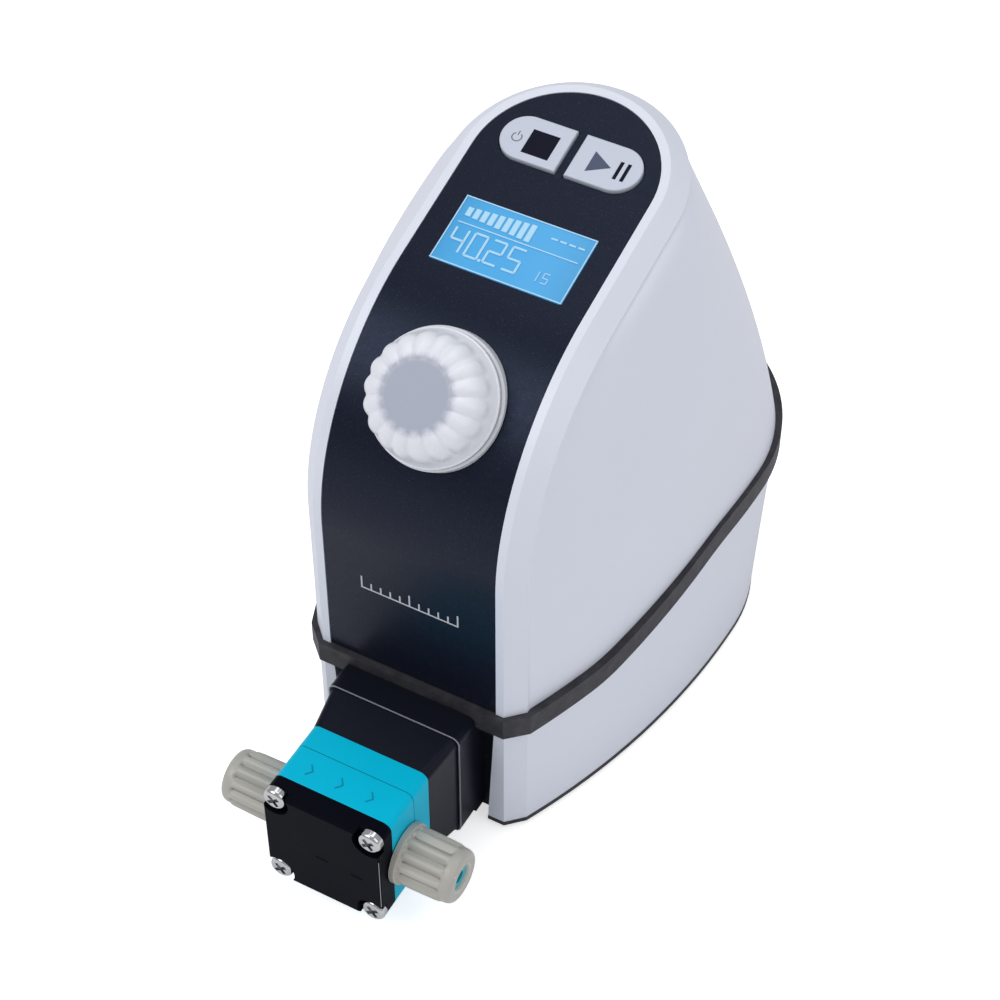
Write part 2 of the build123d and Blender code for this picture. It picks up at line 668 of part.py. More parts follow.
with BuildPart() as encoder_body:
    with BuildSketch(knob_plane(-ENCODER_TOP)):
        RectangleRounded(12, 12, 0.8)
    extrude(amount=-ENCODER_TALL)
    with BuildSketch(knob_plane(-ENCODER_TOP)):
        Circle(BUSHING)
    extrude(amount=ENCODER_TOP + BUSHING_TOP)
    with BuildSketch(knob_plane(BUSHING_TOP)):
        Circle(SHAFT_RADIUS + FIT)
    extrude(amount=-(BUSHING_TOP + ENCODER_TOP + CHAMBER), mode=Mode.SUBTRACT)
finish(encoder_body, "encoder_body")

with BuildPart() as encoder_plunger:
    with BuildSketch(knob_plane(-SHAFT_FOOT - 0.05)):
        Circle(SHAFT_RADIUS - 0.3)
    extrude(amount=-1.2)
finish(encoder_plunger, "encoder_plunger")

with BuildPart() as encoder_nut:
    with BuildSketch(knob_plane()):
        RegularPolygon(5.6, 6)
        Circle(BUSHING, mode=Mode.SUBTRACT)
    extrude(amount=1.7)
finish(encoder_nut, "encoder_nut")

# ---------------------------------------------------------------- pump head
BLOCK_REAR = -ADAPTER_REAR
BLOCK_FRONT = BLOCK_REAR - ADAPTER_BLOCK
NOSE_FRONT = BLOCK_FRONT - ADAPTER_NOSE
VALVE_FRONT = NOSE_FRONT - VALVE_PLATE
PORT_FRONT = VALVE_FRONT - PORT_PLATE
PLATE_FRONT = PORT_FRONT - FRONT_PLATE
FLANGE = 3.0
SCREW_HOLE = SCREW_SHANK + 0.2
SCREW_TIP = NOSE_FRONT + 8.0
HEAD_SCREWS = [(x, z) for x in (-SCREW_X, SCREW_X) for z in (-SCREW_Z, SCREW_Z)]
ROD_BORE = 8.8
SEAT_DEEP = 1.4
NECK_TOP = SEAM_LOW - HEAD_Z - 0.3
FLANGE_FOOT = BASE_PLATE + 0.3 - HEAD_Z


with BuildPart() as head_adapter:
    with BuildSketch(at(RECESS_DEEP)):
        with Locations((0, FLANGE_FOOT)):
            Rectangle(56, NECK_TOP - FLANGE_FOOT, align=(Align.CENTER, Align.MIN))
    extrude(amount=FLANGE)
    with BuildPart(mode=Mode.INTERSECT):
        add(recess_cut(SLIP))
    with BuildSketch(at(RECESS_DEEP - FLANGE)):
        with Locations((0, -ADAPTER_HALF)):
            Rectangle(2 * ADAPTER_HALF, NECK_TOP + ADAPTER_HALF, align=(Align.CENTER, Align.MIN))
    extrude(amount=RECESS_DEEP - FLANGE + ADAPTER_REAR)
    with BuildSketch(at(BLOCK_REAR)):
        RectangleRounded(2 * ADAPTER_HALF, 2 * ADAPTER_HALF, 2.2)
    extrude(amount=ADAPTER_BLOCK)
    with BuildSketch(at(BLOCK_FRONT)):
        RectangleRounded(2 * ADAPTER_NOSE_REAR, 2 * ADAPTER_NOSE_REAR, 1.8)
    with BuildSketch(at(NOSE_FRONT)):
        RectangleRounded(2 * PLATE_HALF, 2 * PLATE_HALF, PLATE_CORNER)
    loft()
    with BuildSketch(at(DRIVE_FRONT)):
        RectangleRounded(2 * WINDOW_HALF - 0.4, 2 * (WINDOW_HALF - 1) - 0.4, 2.8)
    extrude(amount=WALL)
    with BuildSketch(at(DRIVE_FRONT + 1)):
        Circle(ROD_BORE)
    extrude(amount=60, mode=Mode.SUBTRACT)
    with BuildSketch(at(NOSE_FRONT + SEAT_DEEP)):
        Circle(DIAPHRAGM_RADIUS + SLIP)
    extrude(amount=10, mode=Mode.SUBTRACT)
    with BuildSketch(at(SCREW_TIP + 1)):
        with Locations(*HEAD_SCREWS):
            Circle(SCREW_HOLE)
    extrude(amount=30, mode=Mode.SUBTRACT)
    with BuildSketch(at(RECESS_DEEP + 1)):
        with Locations(*DRIVE_SCREWS):
            Circle(DRIVE_SCREW + 0.2)
    extrude(amount=FLANGE + 0.3, mode=Mode.SUBTRACT)
finish(head_adapter, "head_adapter")

DISH_RADIUS = 10.6
DISH_DEEP = 2.0
VALVE_X = 8.0
POCKET_RADIUS = 4.2
POCKET_DEEP = 1.3
DISC_RADIUS = 3.9
DISC_THICK = 0.7
VALVE_LIFT = 0.4
SEAL_IN = 5.0
SEAL_OUT = 6.2
SEAL_THICK = 0.8
CHANNEL = 1.5
VALVES = [(-VALVE_X, 0), (VALVE_X, 0)]

with BuildPart() as valve_plate:
    with BuildSketch(at(NOSE_FRONT)):
        RectangleRounded(2 * PLATE_HALF, 2 * PLATE_HALF, PLATE_CORNER)
        with Locations(*HEAD_SCREWS):
            Circle(SCREW_HOLE, mode=Mode.SUBTRACT)
        with Locations(*VALVES):
            Circle(CHANNEL, mode=Mode.SUBTRACT)
    extrude(amount=VALVE_PLATE)
    with BuildSketch(at(NOSE_FRONT)):
        Circle(DISH_RADIUS)
    extrude(amount=DISH_DEEP, mode=Mode.SUBTRACT)
    with BuildSketch(at(VALVE_FRONT)):
        with Locations(*VALVES):
            Circle(POCKET_RADIUS)
    extrude(amount=-POCKET_DEEP, mode=Mode.SUBTRACT)
    with BuildSketch(at(VALVE_FRONT)):
        with Locations(*VALVES):
            Circle(SEAL_OUT)
            Circle(SEAL_IN, mode=Mode.SUBTRACT)
    extrude(amount=-SEAL_THICK, mode=Mode.SUBTRACT)
finish(valve_plate, "valve_plate")

with BuildPart() as valve_seals:
    with BuildSketch(at(VALVE_FRONT)):
        with Locations(*VALVES):
            Circle(SEAL_OUT)
            Circle(SEAL_IN, mode=Mode.SUBTRACT)
    extrude(amount=-SEAL_THICK)
finish(valve_seals, "valve_seals")

for label, x, place in (("inlet_valve_disc", -VALVE_X, 0.1),
                        ("outlet_valve_disc", VALVE_X, 0.1 + VALVE_LIFT)):
    with BuildPart() as disc:
        with BuildSketch(at(VALVE_FRONT + place)):
            with Locations((x, 0)):
                Circle(DISC_RADIUS)
        extrude(amount=-DISC_THICK)
    finish(disc, label)

DAMPER_RADIUS = 11.0
DAMPER_THICK = 0.8
PORT_SIDES = [(-1, "inlet"), (1, "outlet")]
SLEEVE_NOSE = 3.1
SLEEVE_FLANGE = 4.3
SLEEVE_SEAT = 2.7            # depth of the sleeve in the port


def across(x, side):
    """Plane square to the port axis at a distance from the pump's middle, facing outwards."""
    return Plane(origin=(side * x, FACE - NUT_Y, BASE + HEAD_Z), x_dir=(0, 1, 0), z_dir=(side, 0, 0))


with BuildPart() as port_plate:
    with BuildSketch(at(VALVE_FRONT)):
        RectangleRounded(2 * PLATE_HALF, 2 * PLATE_HALF, PLATE_CORNER)
        with Locations(*HEAD_SCREWS):
            Circle(SCREW_HOLE, mode=Mode.SUBTRACT)
    extrude(amount=PORT_PLATE)
    with BuildSketch(at(PORT_FRONT)):
        Circle(DAMPER_RADIUS + SLIP)
    extrude(amount=-DAMPER_THICK, mode=Mode.SUBTRACT)
    for side, _ in PORT_SIDES:
        with BuildSketch(across(PLATE_HALF, side)):
            Circle(PORT_STUB)
        extrude(amount=STUB_LENGTH)
        with BuildSketch(across(PLATE_HALF + STUB_LENGTH, side)):
            Circle(PLATE_BORE)
        extrude(amount=-(PLATE_HALF + STUB_LENGTH - VALVE_X + CHANNEL), mode=Mode.SUBTRACT)
        with BuildSketch(across(PLATE_HALF + STUB_LENGTH, side)):
            Circle(SLEEVE_NOSE + 0.2)
        extrude(amount=-SLEEVE_SEAT - SLIP, mode=Mode.SUBTRACT)
    with BuildSketch(at(VALVE_FRONT)):
        with Locations(*VALVES):
            Circle(CHANNEL)
    extrude(amount=NUT_Y + VALVE_FRONT, mode=Mode.SUBTRACT)
finish(port_plate, "port_plate")

with BuildPart() as damping_diaphragm:
    with BuildSketch(at(PORT_FRONT)):
        Circle(DAMPER_RADIUS)
    extrude(amount=-DAMPER_THICK)
finish(damping_diaphragm, "damping_diaphragm")

with BuildPart() as front_plate:
    with BuildSketch(at(PORT_FRONT)):
        RectangleRounded(2 * PLATE_HALF, 2 * PLATE_HALF, PLATE_CORNER)
        with Locations(*HEAD_SCREWS):
            Circle(SCREW_HOLE, mode=Mode.SUBTRACT)
    extrude(amount=FRONT_PLATE)
    chamfer(front_plate.faces().sort_by(Axis.Y)[0].outer_wire().edges(), 0.5)
    with BuildSketch(at(PLATE_FRONT)):
        with Locations(*HEAD_SCREWS):
            Circle(SCREW_RECESS)
    extrude(amount=-SCREW_SEAT, mode=Mode.SUBTRACT)
finish(front_plate, "front_plate")

HEAD_UNDER = PLATE_FRONT + SCREW_SEAT
CROSS_LONG = 3.6
CROSS_WIDE = 0.95
CROSS_DEEP = 1.2
CROSS_TURN = 38
with BuildPart() as head_screws:
    with BuildSketch(at(HEAD_UNDER)):
        with Locations(*HEAD_SCREWS):
            Circle(SCREW_HEAD)
    extrude(amount=SCREW_HEAD_TALL)
    fillet(head_screws.faces().sort_by(Axis.Y)[:4].edges(), 1.0)
    with BuildSketch(at(HEAD_UNDER - SCREW_HEAD_TALL)):
        with Locations(*HEAD_SCREWS):
            Rectangle(CROSS_LONG, CROSS_WIDE, rotation=CROSS_TURN)
            Rectangle(CROSS_WIDE, CROSS_LONG, rotation=CROSS_TURN)
    extrude(amount=-CROSS_DEEP, mode=Mode.SUBTRACT)
    with BuildSketch(at(HEAD_UNDER)):
        with Locations(*HEAD_SCREWS):
            Circle(SCREW_SHANK)
    extrude(amount=HEAD_UNDER - SCREW_TIP)
finish(head_screws, "head_screws")

# ---------------------------------------------------------------- union nuts and sleeves
NUT_GAP = 0.3
NUT_WALL = 4.0
SLEEVE_SHY = 0.9             # sleeve's end inside the nut's mouth
for side, name in PORT_SIDES:
    with BuildPart() as nut:
        start = PLATE_HALF + NUT_GAP
        with BuildSketch(across(start, side)):
            Circle(NUT_COLLAR)
        extrude(amount=NUT_COLLAR_TALL)
        with BuildSketch(across(start, side)):
            Circle(NUT_RADIUS)
        extrude(amount=NUT_LENGTH)
        fillet(nut.faces().sort_by(Axis((0, 0, 0), (side, 0, 0)))[-1].outer_wire().edges(), 1.3)
        with BuildSketch(across(start + NUT_COLLAR_TALL, side)):
            with PolarLocations(NUT_RADIUS + 0.2, NUT_RIBS):
                Circle(NUT_GROOVE)
        extrude(amount=NUT_LENGTH - NUT_COLLAR_TALL - NUT_END, mode=Mode.SUBTRACT)
        with BuildSketch(across(start, side)):
            Circle(PORT_STUB + SLIP)
        extrude(amount=NUT_LENGTH - NUT_WALL, mode=Mode.SUBTRACT)
        with BuildSketch(across(start, side)):
            Circle(SLEEVE_NOSE + 0.15)
        extrude(amount=NUT_LENGTH + 1, mode=Mode.SUBTRACT)
    finish(nut, name + "_nut")
    with BuildPart() as sleeve:
        tip = PLATE_HALF + STUB_LENGTH
        with BuildSketch(across(tip - SLEEVE_SEAT, side)):
            Circle(SLEEVE_NOSE)
        extrude(amount=NUT_LENGTH - STUB_LENGTH + NUT_GAP + SLEEVE_SEAT - SLEEVE_SHY)
        with BuildSketch(across(tip + 0.1, side)):
            Circle(SLEEVE_FLANGE)
        extrude(amount=NUT_LENGTH + NUT_GAP - NUT_WALL - STUB_LENGTH - 0.2)
        with BuildSketch(across(tip - 4, side)):
            Circle(PORT_BORE)
        extrude(amount=NUT_LENGTH, mode=Mode.SUBTRACT)
    finish(sleeve, name + "_sleeve")

# ---------------------------------------------------------------- working diaphragm
CORE_THICK = 2.6
CORE_FRONT = NOSE_FRONT - 0.6
STUD_RADIUS = 2.0
STUD_END = CORE_FRONT + CORE_THICK + 5.0
with BuildPart() as diaphragm_membrane:
    with BuildSketch(at(NOSE_FRONT)):
        Circle(DIAPHRAGM_RADIUS)
        Circle(CORE_RADIUS + SLIP, mode=Mode.SUBTRACT)
    extrude(amount=-SEAT_DEEP)
finish(diaphragm_membrane, "diaphragm_membrane")

with BuildPart() as diaphragm_core:
    with BuildSketch(at(CORE_FRONT)):
        Circle(CORE_RADIUS)
    extrude(amount=-CORE_THICK)
    with BuildSketch(at(CORE_FRONT)):
        Circle(STUD_RADIUS)
    extrude(amount=-(STUD_END - CORE_FRONT))
finish(diaphragm_core, "diaphragm_core")

# ---------------------------------------------------------------- drive: housing, crank, rod, motor
CRANK_Y = 27.0
DRIVE_HALF = 21.0
DRIVE_REAR = 46.0
DRIVE_TOP = 38.0
CHAMBER_RADIUS = 14.8
CHAMBER_FLOOR = 9.6
BEARING_OUT = 6.0
BEARING_TALL = 4.0
MOTOR_PLATE = 3.0
MOTOR_HALF = 17.5
MOTOR_TALL = 32.0
MOTOR_CAP = 4.5
MOTOR_SCREW = 1.5
SHAFT = 2.5
MOTOR_FOOT = DRIVE_TOP + MOTOR_PLATE
MOTOR_SCREWS = [(x, CRANK_Y + y) for x in (-13.5, 13.5) for y in (-13.5, 13.5)]

with BuildPart() as drive_housing:
    with BuildSketch(floor(BASE_PLATE)):
        with Locations((0, (DRIVE_FRONT + DRIVE_REAR) / 2)):
            RectangleRounded(2 * DRIVE_HALF, DRIVE_REAR - DRIVE_FRONT, 2)
    extrude(amount=DRIVE_TOP - BASE_PLATE)
    with BuildSketch(floor(CHAMBER_FLOOR)):
        with Locations((0, CRANK_Y)):
            Circle(CHAMBER_RADIUS)
    extrude(amount=DRIVE_TOP, mode=Mode.SUBTRACT)
    with BuildSketch(floor(CHAMBER_FLOOR - BEARING_TALL)):
        with Locations((0, CRANK_Y)):
            Circle(BEARING_OUT)
    extrude(amount=DRIVE_TOP, mode=Mode.SUBTRACT)
    with BuildSketch(at(DRIVE_FRONT - 1)):
        Circle(ROD_BORE)
    extrude(amount=-(CRANK_Y - DRIVE_FRONT), mode=Mode.SUBTRACT)
    with BuildSketch(at(DRIVE_FRONT - 1)):
        with Locations(*DRIVE_SCREWS):
            Circle(DRIVE_SCREW + 0.2)
    extrude(amount=-60, mode=Mode.SUBTRACT)
    with BuildSketch(floor(DRIVE_TOP)):
        with Locations(*MOTOR_SCREWS):
            Circle(MOTOR_SCREW + 0.2)
    extrude(amount=-8, mode=Mode.SUBTRACT)
finish(drive_housing, "drive_housing")

with BuildPart() as drive_screws:
    with BuildSketch(at(DRIVE_REAR)):
        with Locations(*DRIVE_SCREWS):
            Circle(2.8)
    extrude(amount=-2.4)
    with BuildSketch(at(DRIVE_REAR)):
        with Locations(*DRIVE_SCREWS):
            Circle(DRIVE_SCREW)
    extrude(amount=DRIVE_REAR - RECESS_DEEP + FLANGE - 1)
finish(drive_screws, "drive_screws")

with BuildPart() as motor_plate:
    with BuildSketch(floor(DRIVE_TOP)):
        with Locations((0, (DRIVE_FRONT + DRIVE_REAR) / 2)):
            RectangleRounded(2 * DRIVE_HALF, DRIVE_REAR - DRIVE_FRONT, 2)
        with Locations((0, CRANK_Y)):
            Circle(SHAFT + 0.5, mode=Mode.SUBTRACT)
        with Locations(*MOTOR_SCREWS):
            Circle(MOTOR_SCREW + 0.2, mode=Mode.SUBTRACT)
    extrude(amount=MOTOR_PLATE)
finish(motor_plate, "motor_plate")


def motor_slice(bottom, height, half, bore):
    """One layer of the square motor with its shaft bore and screw holes."""
    with BuildPart() as layer:
        with BuildSketch(floor(bottom)):
            with Locations((0, CRANK_Y)):
                RectangleRounded(2 * half, 2 * half, 3)
                Circle(bore, mode=Mode.SUBTRACT)
            with Locations(*MOTOR_SCREWS):
                Circle(MOTOR_SCREW + 0.2, mode=Mode.SUBTRACT)
        extrude(amount=height)
    return layer.part


with BuildPart() as motor_body:
    add(motor_slice(MOTOR_FOOT + MOTOR_CAP, MOTOR_TALL - 2 * MOTOR_CAP, MOTOR_HALF - 0.4, SHAFT + 1))
finish(motor_body, "motor_body")

with BuildPart() as motor_end_caps:
    add(motor_slice(MOTOR_FOOT, MOTOR_CAP, MOTOR_HALF, SHAFT + FIT))
    add(motor_slice(MOTOR_FOOT + MOTOR_TALL - MOTOR_CAP, MOTOR_CAP, MOTOR_HALF, SHAFT + FIT))
finish(motor_end_caps, "motor_end_caps")

with BuildPart() as motor_screws:
    with BuildSketch(floor(MOTOR_FOOT + MOTOR_TALL)):
        with Locations(*MOTOR_SCREWS):
            Circle(2.7)
    extrude(amount=2.4)
    with BuildSketch(floor(MOTOR_FOOT + MOTOR_TALL)):
        with Locations(*MOTOR_SCREWS):
            Circle(MOTOR_SCREW)
    extrude(amount=-(MOTOR_TALL + MOTOR_PLATE + 6))
finish(motor_screws, "motor_screws")

with BuildPart() as motor_shaft:
    with BuildSketch(floor(CHAMBER_FLOOR - BEARING_TALL + 0.2)):
        with Locations((0, CRANK_Y)):
            Circle(SHAFT)
    extrude(amount=MOTOR_FOOT + MOTOR_TALL - 1.0 - CHAMBER_FLOOR + BEARING_TALL)
finish(motor_shaft, "motor_shaft")

with BuildPart() as shaft_bearing:
    with BuildSketch(floor(CHAMBER_FLOOR - BEARING_TALL)):
        with Locations((0, CRANK_Y)):
            Circle(BEARING_OUT)
            Circle(SHAFT + FIT, mode=Mode.SUBTRACT)
    extrude(amount=BEARING_TALL)
finish(shaft_bearing, "shaft_bearing")

JOURNAL = 7.0
ROD_EYE = 10.0
ROD_RIM = 13.0
ROD_TALL = 8.0
WEIGHT_TALL = 3.6
with BuildPart() as eccentric:
    with BuildSketch(floor(HEAD_Z - ROD_TALL / 2 - 0.8)):
        with Locations((STROKE_HALF, CRANK_Y)):
            Circle(JOURNAL - FIT)
        with Locations((0, CRANK_Y)):
            Circle(SHAFT, mode=Mode.SUBTRACT)
    extrude(amount=ROD_TALL + 1.6)
    with BuildSketch(floor(HEAD_Z - ROD_TALL / 2 - 0.8)):
        with Locations((0, CRANK_Y)):
            Circle(14.0)
            Circle(SHAFT, mode=Mode.SUBTRACT)
        with Locations((12, CRANK_Y)):
            Rectangle(20, 40, mode=Mode.SUBTRACT)
        with Locations((STROKE_HALF, CRANK_Y)):
            Circle(JOURNAL)
        with Locations((0, CRANK_Y)):
            Circle(SHAFT, mode=Mode.SUBTRACT)
    extrude(amount=-WEIGHT_TALL)
finish(eccentric, "eccentric")

with BuildPart() as rod_bearing:
    with BuildSketch(floor(HEAD_Z - ROD_TALL / 2)):
        with Locations((STROKE_HALF, CRANK_Y)):
            Circle(ROD_EYE)
            Circle(JOURNAL, mode=Mode.SUBTRACT)
    extrude(amount=ROD_TALL)
finish(rod_bearing, "rod_bearing")

ROD_FRONT = CORE_FRONT + CORE_THICK + 2 * STROKE_HALF + 0.4
SOCKET_RADIUS = STUD_RADIUS + STROKE_HALF + 0.2
SOCKET_END = STUD_END + 2 * STROKE_HALF + 0.2
with BuildPart() as connecting_rod:
    with BuildSketch(floor(HEAD_Z - ROD_TALL / 2)):
        with Locations((STROKE_HALF, CRANK_Y)):
            Circle(ROD_RIM)
        with Locations((STROKE_HALF, (CRANK_Y + SOCKET_END) / 2)):
            Rectangle(7, CRANK_Y - SOCKET_END)
    extrude(amount=ROD_TALL)
    with BuildSketch(floor(HEAD_Z - ROD_TALL / 2 - 1)):
        with Locations((STROKE_HALF, CRANK_Y)):
            Circle(ROD_EYE)
    extrude(amount=ROD_TALL + 2, mode=Mode.SUBTRACT)
    with BuildSketch(at(ROD_FRONT)):
        with Locations((STROKE_HALF, 0)):
            Circle(SOCKET_RADIUS + 1.8)
    extrude(amount=-(SOCKET_END - ROD_FRONT + 3))
    with BuildSketch(at(ROD_FRONT)):
        with Locations((STROKE_HALF, 0)):
            Circle(SOCKET_RADIUS)
    extrude(amount=-(SOCKET_END - ROD_FRONT), mode=Mode.SUBTRACT)
finish(connecting_rod, "connecting_rod")

# ---------------------------------------------------------------- case screws
CASE_SCREW_TOP = SEAM_HIGH + SEAM_TALL + 8
with BuildPart() as case_screws:
    with BuildSketch(floor(0)):
        with Locations(*BOSSES):
            Circle(2.9)
    extrude(amount=-1.2)
    with BuildSketch(floor(0)):
        with Locations(*BOSSES):
            Circle(CASE_SCREW)
    extrude(amount=CASE_SCREW_TOP - 6)
finish(case_screws, "case_screws")

# ---------------------------------------------------------------- main board and sockets
BOARD_Y = 104.0
BOARD_THICK = 1.6
SOCKET_Z = POCKET_Z - 2
with BuildPart() as main_board:
    with BuildSketch(at(BOARD_Y, -HEAD_Z)):
        with Locations((0, BASE_PLATE)):
            Rectangle(50, 42, align=(Align.CENTER, Align.MIN))
    extrude(amount=-BOARD_THICK)
finish(main_board, "main_board")

SOCKET_FRONT = BOARD_Y + BOARD_THICK
with BuildPart() as power_socket:
    with BuildSketch(at(SOCKET_FRONT, -HEAD_Z)):
        with Locations((POWER_X, SOCKET_Z)):
            Circle(POWER_HOLE - 0.2)
    extrude(amount=-(POCKET_Y - SOCKET_FRONT + 1.2))
    with BuildSketch(at(POCKET_Y, -HEAD_Z)):
        with Locations((POWER_X, SOCKET_Z)):
            Circle(POWER_HOLE + 1.3)
    extrude(amount=-1.2)
    with BuildSketch(at(POCKET_Y + 1.2, -HEAD_Z)):
        with Locations((POWER_X, SOCKET_Z)):
            Circle(2.8)
            Circle(0.95, mode=Mode.SUBTRACT)
    extrude(amount=9, mode=Mode.SUBTRACT)
finish(power_socket, "power_socket")

with BuildPart() as signal_socket:
    with BuildSketch(at(SOCKET_FRONT, -HEAD_Z)):
        with Locations((SIGNAL_X, SOCKET_Z)):
            Circle(SIGNAL_HOLE - 0.2)
    extrude(amount=-(POCKET_Y - SOCKET_FRONT + 1.2))
    with BuildSketch(at(POCKET_Y, -HEAD_Z)):
        with Locations((SIGNAL_X, SOCKET_Z)):
            Circle(SIGNAL_HOLE + 1.3)
    extrude(amount=-1.2)
    with BuildSketch(at(POCKET_Y + 1.2, -HEAD_Z)):
        with Locations((SIGNAL_X, SOCKET_Z)):
            Circle(SIGNAL_HOLE - 1.7)
    extrude(amount=2.6, mode=Mode.SUBTRACT)
finish(signal_socket, "signal_socket")
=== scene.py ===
"""Looks of the bench metering pump: finishes for its solids and the small marks on its surfaces."""

import json
import logging
import math
from dataclasses import dataclass
from enum import Enum
from typing import Any, Sequence

import bmesh
import bpy
from mathutils import Matrix, Vector


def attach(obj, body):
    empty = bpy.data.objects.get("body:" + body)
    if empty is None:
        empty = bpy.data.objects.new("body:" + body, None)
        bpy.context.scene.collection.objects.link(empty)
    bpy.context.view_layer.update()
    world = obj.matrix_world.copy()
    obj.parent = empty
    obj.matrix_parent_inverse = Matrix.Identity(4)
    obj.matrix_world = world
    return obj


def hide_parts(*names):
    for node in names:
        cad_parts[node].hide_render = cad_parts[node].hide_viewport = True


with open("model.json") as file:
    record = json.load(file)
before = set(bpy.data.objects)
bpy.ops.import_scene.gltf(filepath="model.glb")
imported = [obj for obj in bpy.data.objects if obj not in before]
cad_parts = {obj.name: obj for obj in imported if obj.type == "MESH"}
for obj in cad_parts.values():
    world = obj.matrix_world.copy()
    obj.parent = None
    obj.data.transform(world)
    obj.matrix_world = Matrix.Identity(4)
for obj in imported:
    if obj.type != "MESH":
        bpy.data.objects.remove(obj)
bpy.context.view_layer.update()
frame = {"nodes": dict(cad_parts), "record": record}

LOG = logging.getLogger("pump")
MM = 0.001
Colour = tuple[float, float, float]
Point = tuple[float, float]

# ------------------------------------------------------------------ places, in millimetres
PANEL_Y = -48.25            # plane of the panel's upright part
GROUND_GAP = 1.5            # rubber feet below the base plate
HEAD_HEIGHT = 20.6          # head axis above the base plate
BEND_RADIUS = 52.5
BEND_RISE = 82.0            # start of the bend above the base plate
LEAN = math.radians(74.0)   # how far the panel leans back
DISPLAY_REACH = 48.2        # panel plane to the middle of the display
PLATE_FACE = -41.4          # front of the head's front plate, from the panel plane
KNOB_AT = (0.0, -33.515, 119.969)    # knob axis where it leaves the panel
KNOB_TILT = math.radians(44.0)
KNOB_AXIS = (0.0, -math.cos(KNOB_TILT), math.sin(KNOB_TILT))
PORT_Y = -30.8              # axis of the ports, from the panel plane


class Body(Enum):
    """Moving groups that the small pieces ride on."""

    HOUSING = "housing"
    STOP_KEY = "stop_key"
    START_KEY = "start_key"
    KNOB = "knob"
    INLET_NUT = "inlet_nut"
    OUTLET_NUT = "outlet_nut"


# ------------------------------------------------------------------ shader graph
class Value:
    """A number socket that takes part in Python arithmetic."""

    def __init__(self, graph: "Graph", socket: bpy.types.NodeSocket) -> None:
        """Keep the graph and the socket.

        Args:
            graph: The graph that gets the Math nodes.
            socket: The socket that this value stands for.
        """
        self.graph = graph
        self.socket = socket

    def join(self, operation: str, first: Any, second: Any) -> "Value":
        """Add a Math node.

        Args:
            operation: The node's operation.
            first: Its first value, a number or a Value.
            second: Its second value.

        Returns:
            The result.
        """
        return self.graph.value("ShaderNodeMath", 0, {"operation": operation},
                                {0: first, 1: second})

    def __add__(self, other: Any) -> "Value":
        """Sum."""
        return self.join("ADD", self, other)

    def __sub__(self, other: Any) -> "Value":
        """Difference."""
        return self.join("SUBTRACT", self, other)

    def __rsub__(self, other: Any) -> "Value":
        """Difference from a number on the left."""
        return self.join("SUBTRACT", other, self)

    def __mul__(self, other: Any) -> "Value":
        """Product."""
        return self.join("MULTIPLY", self, other)



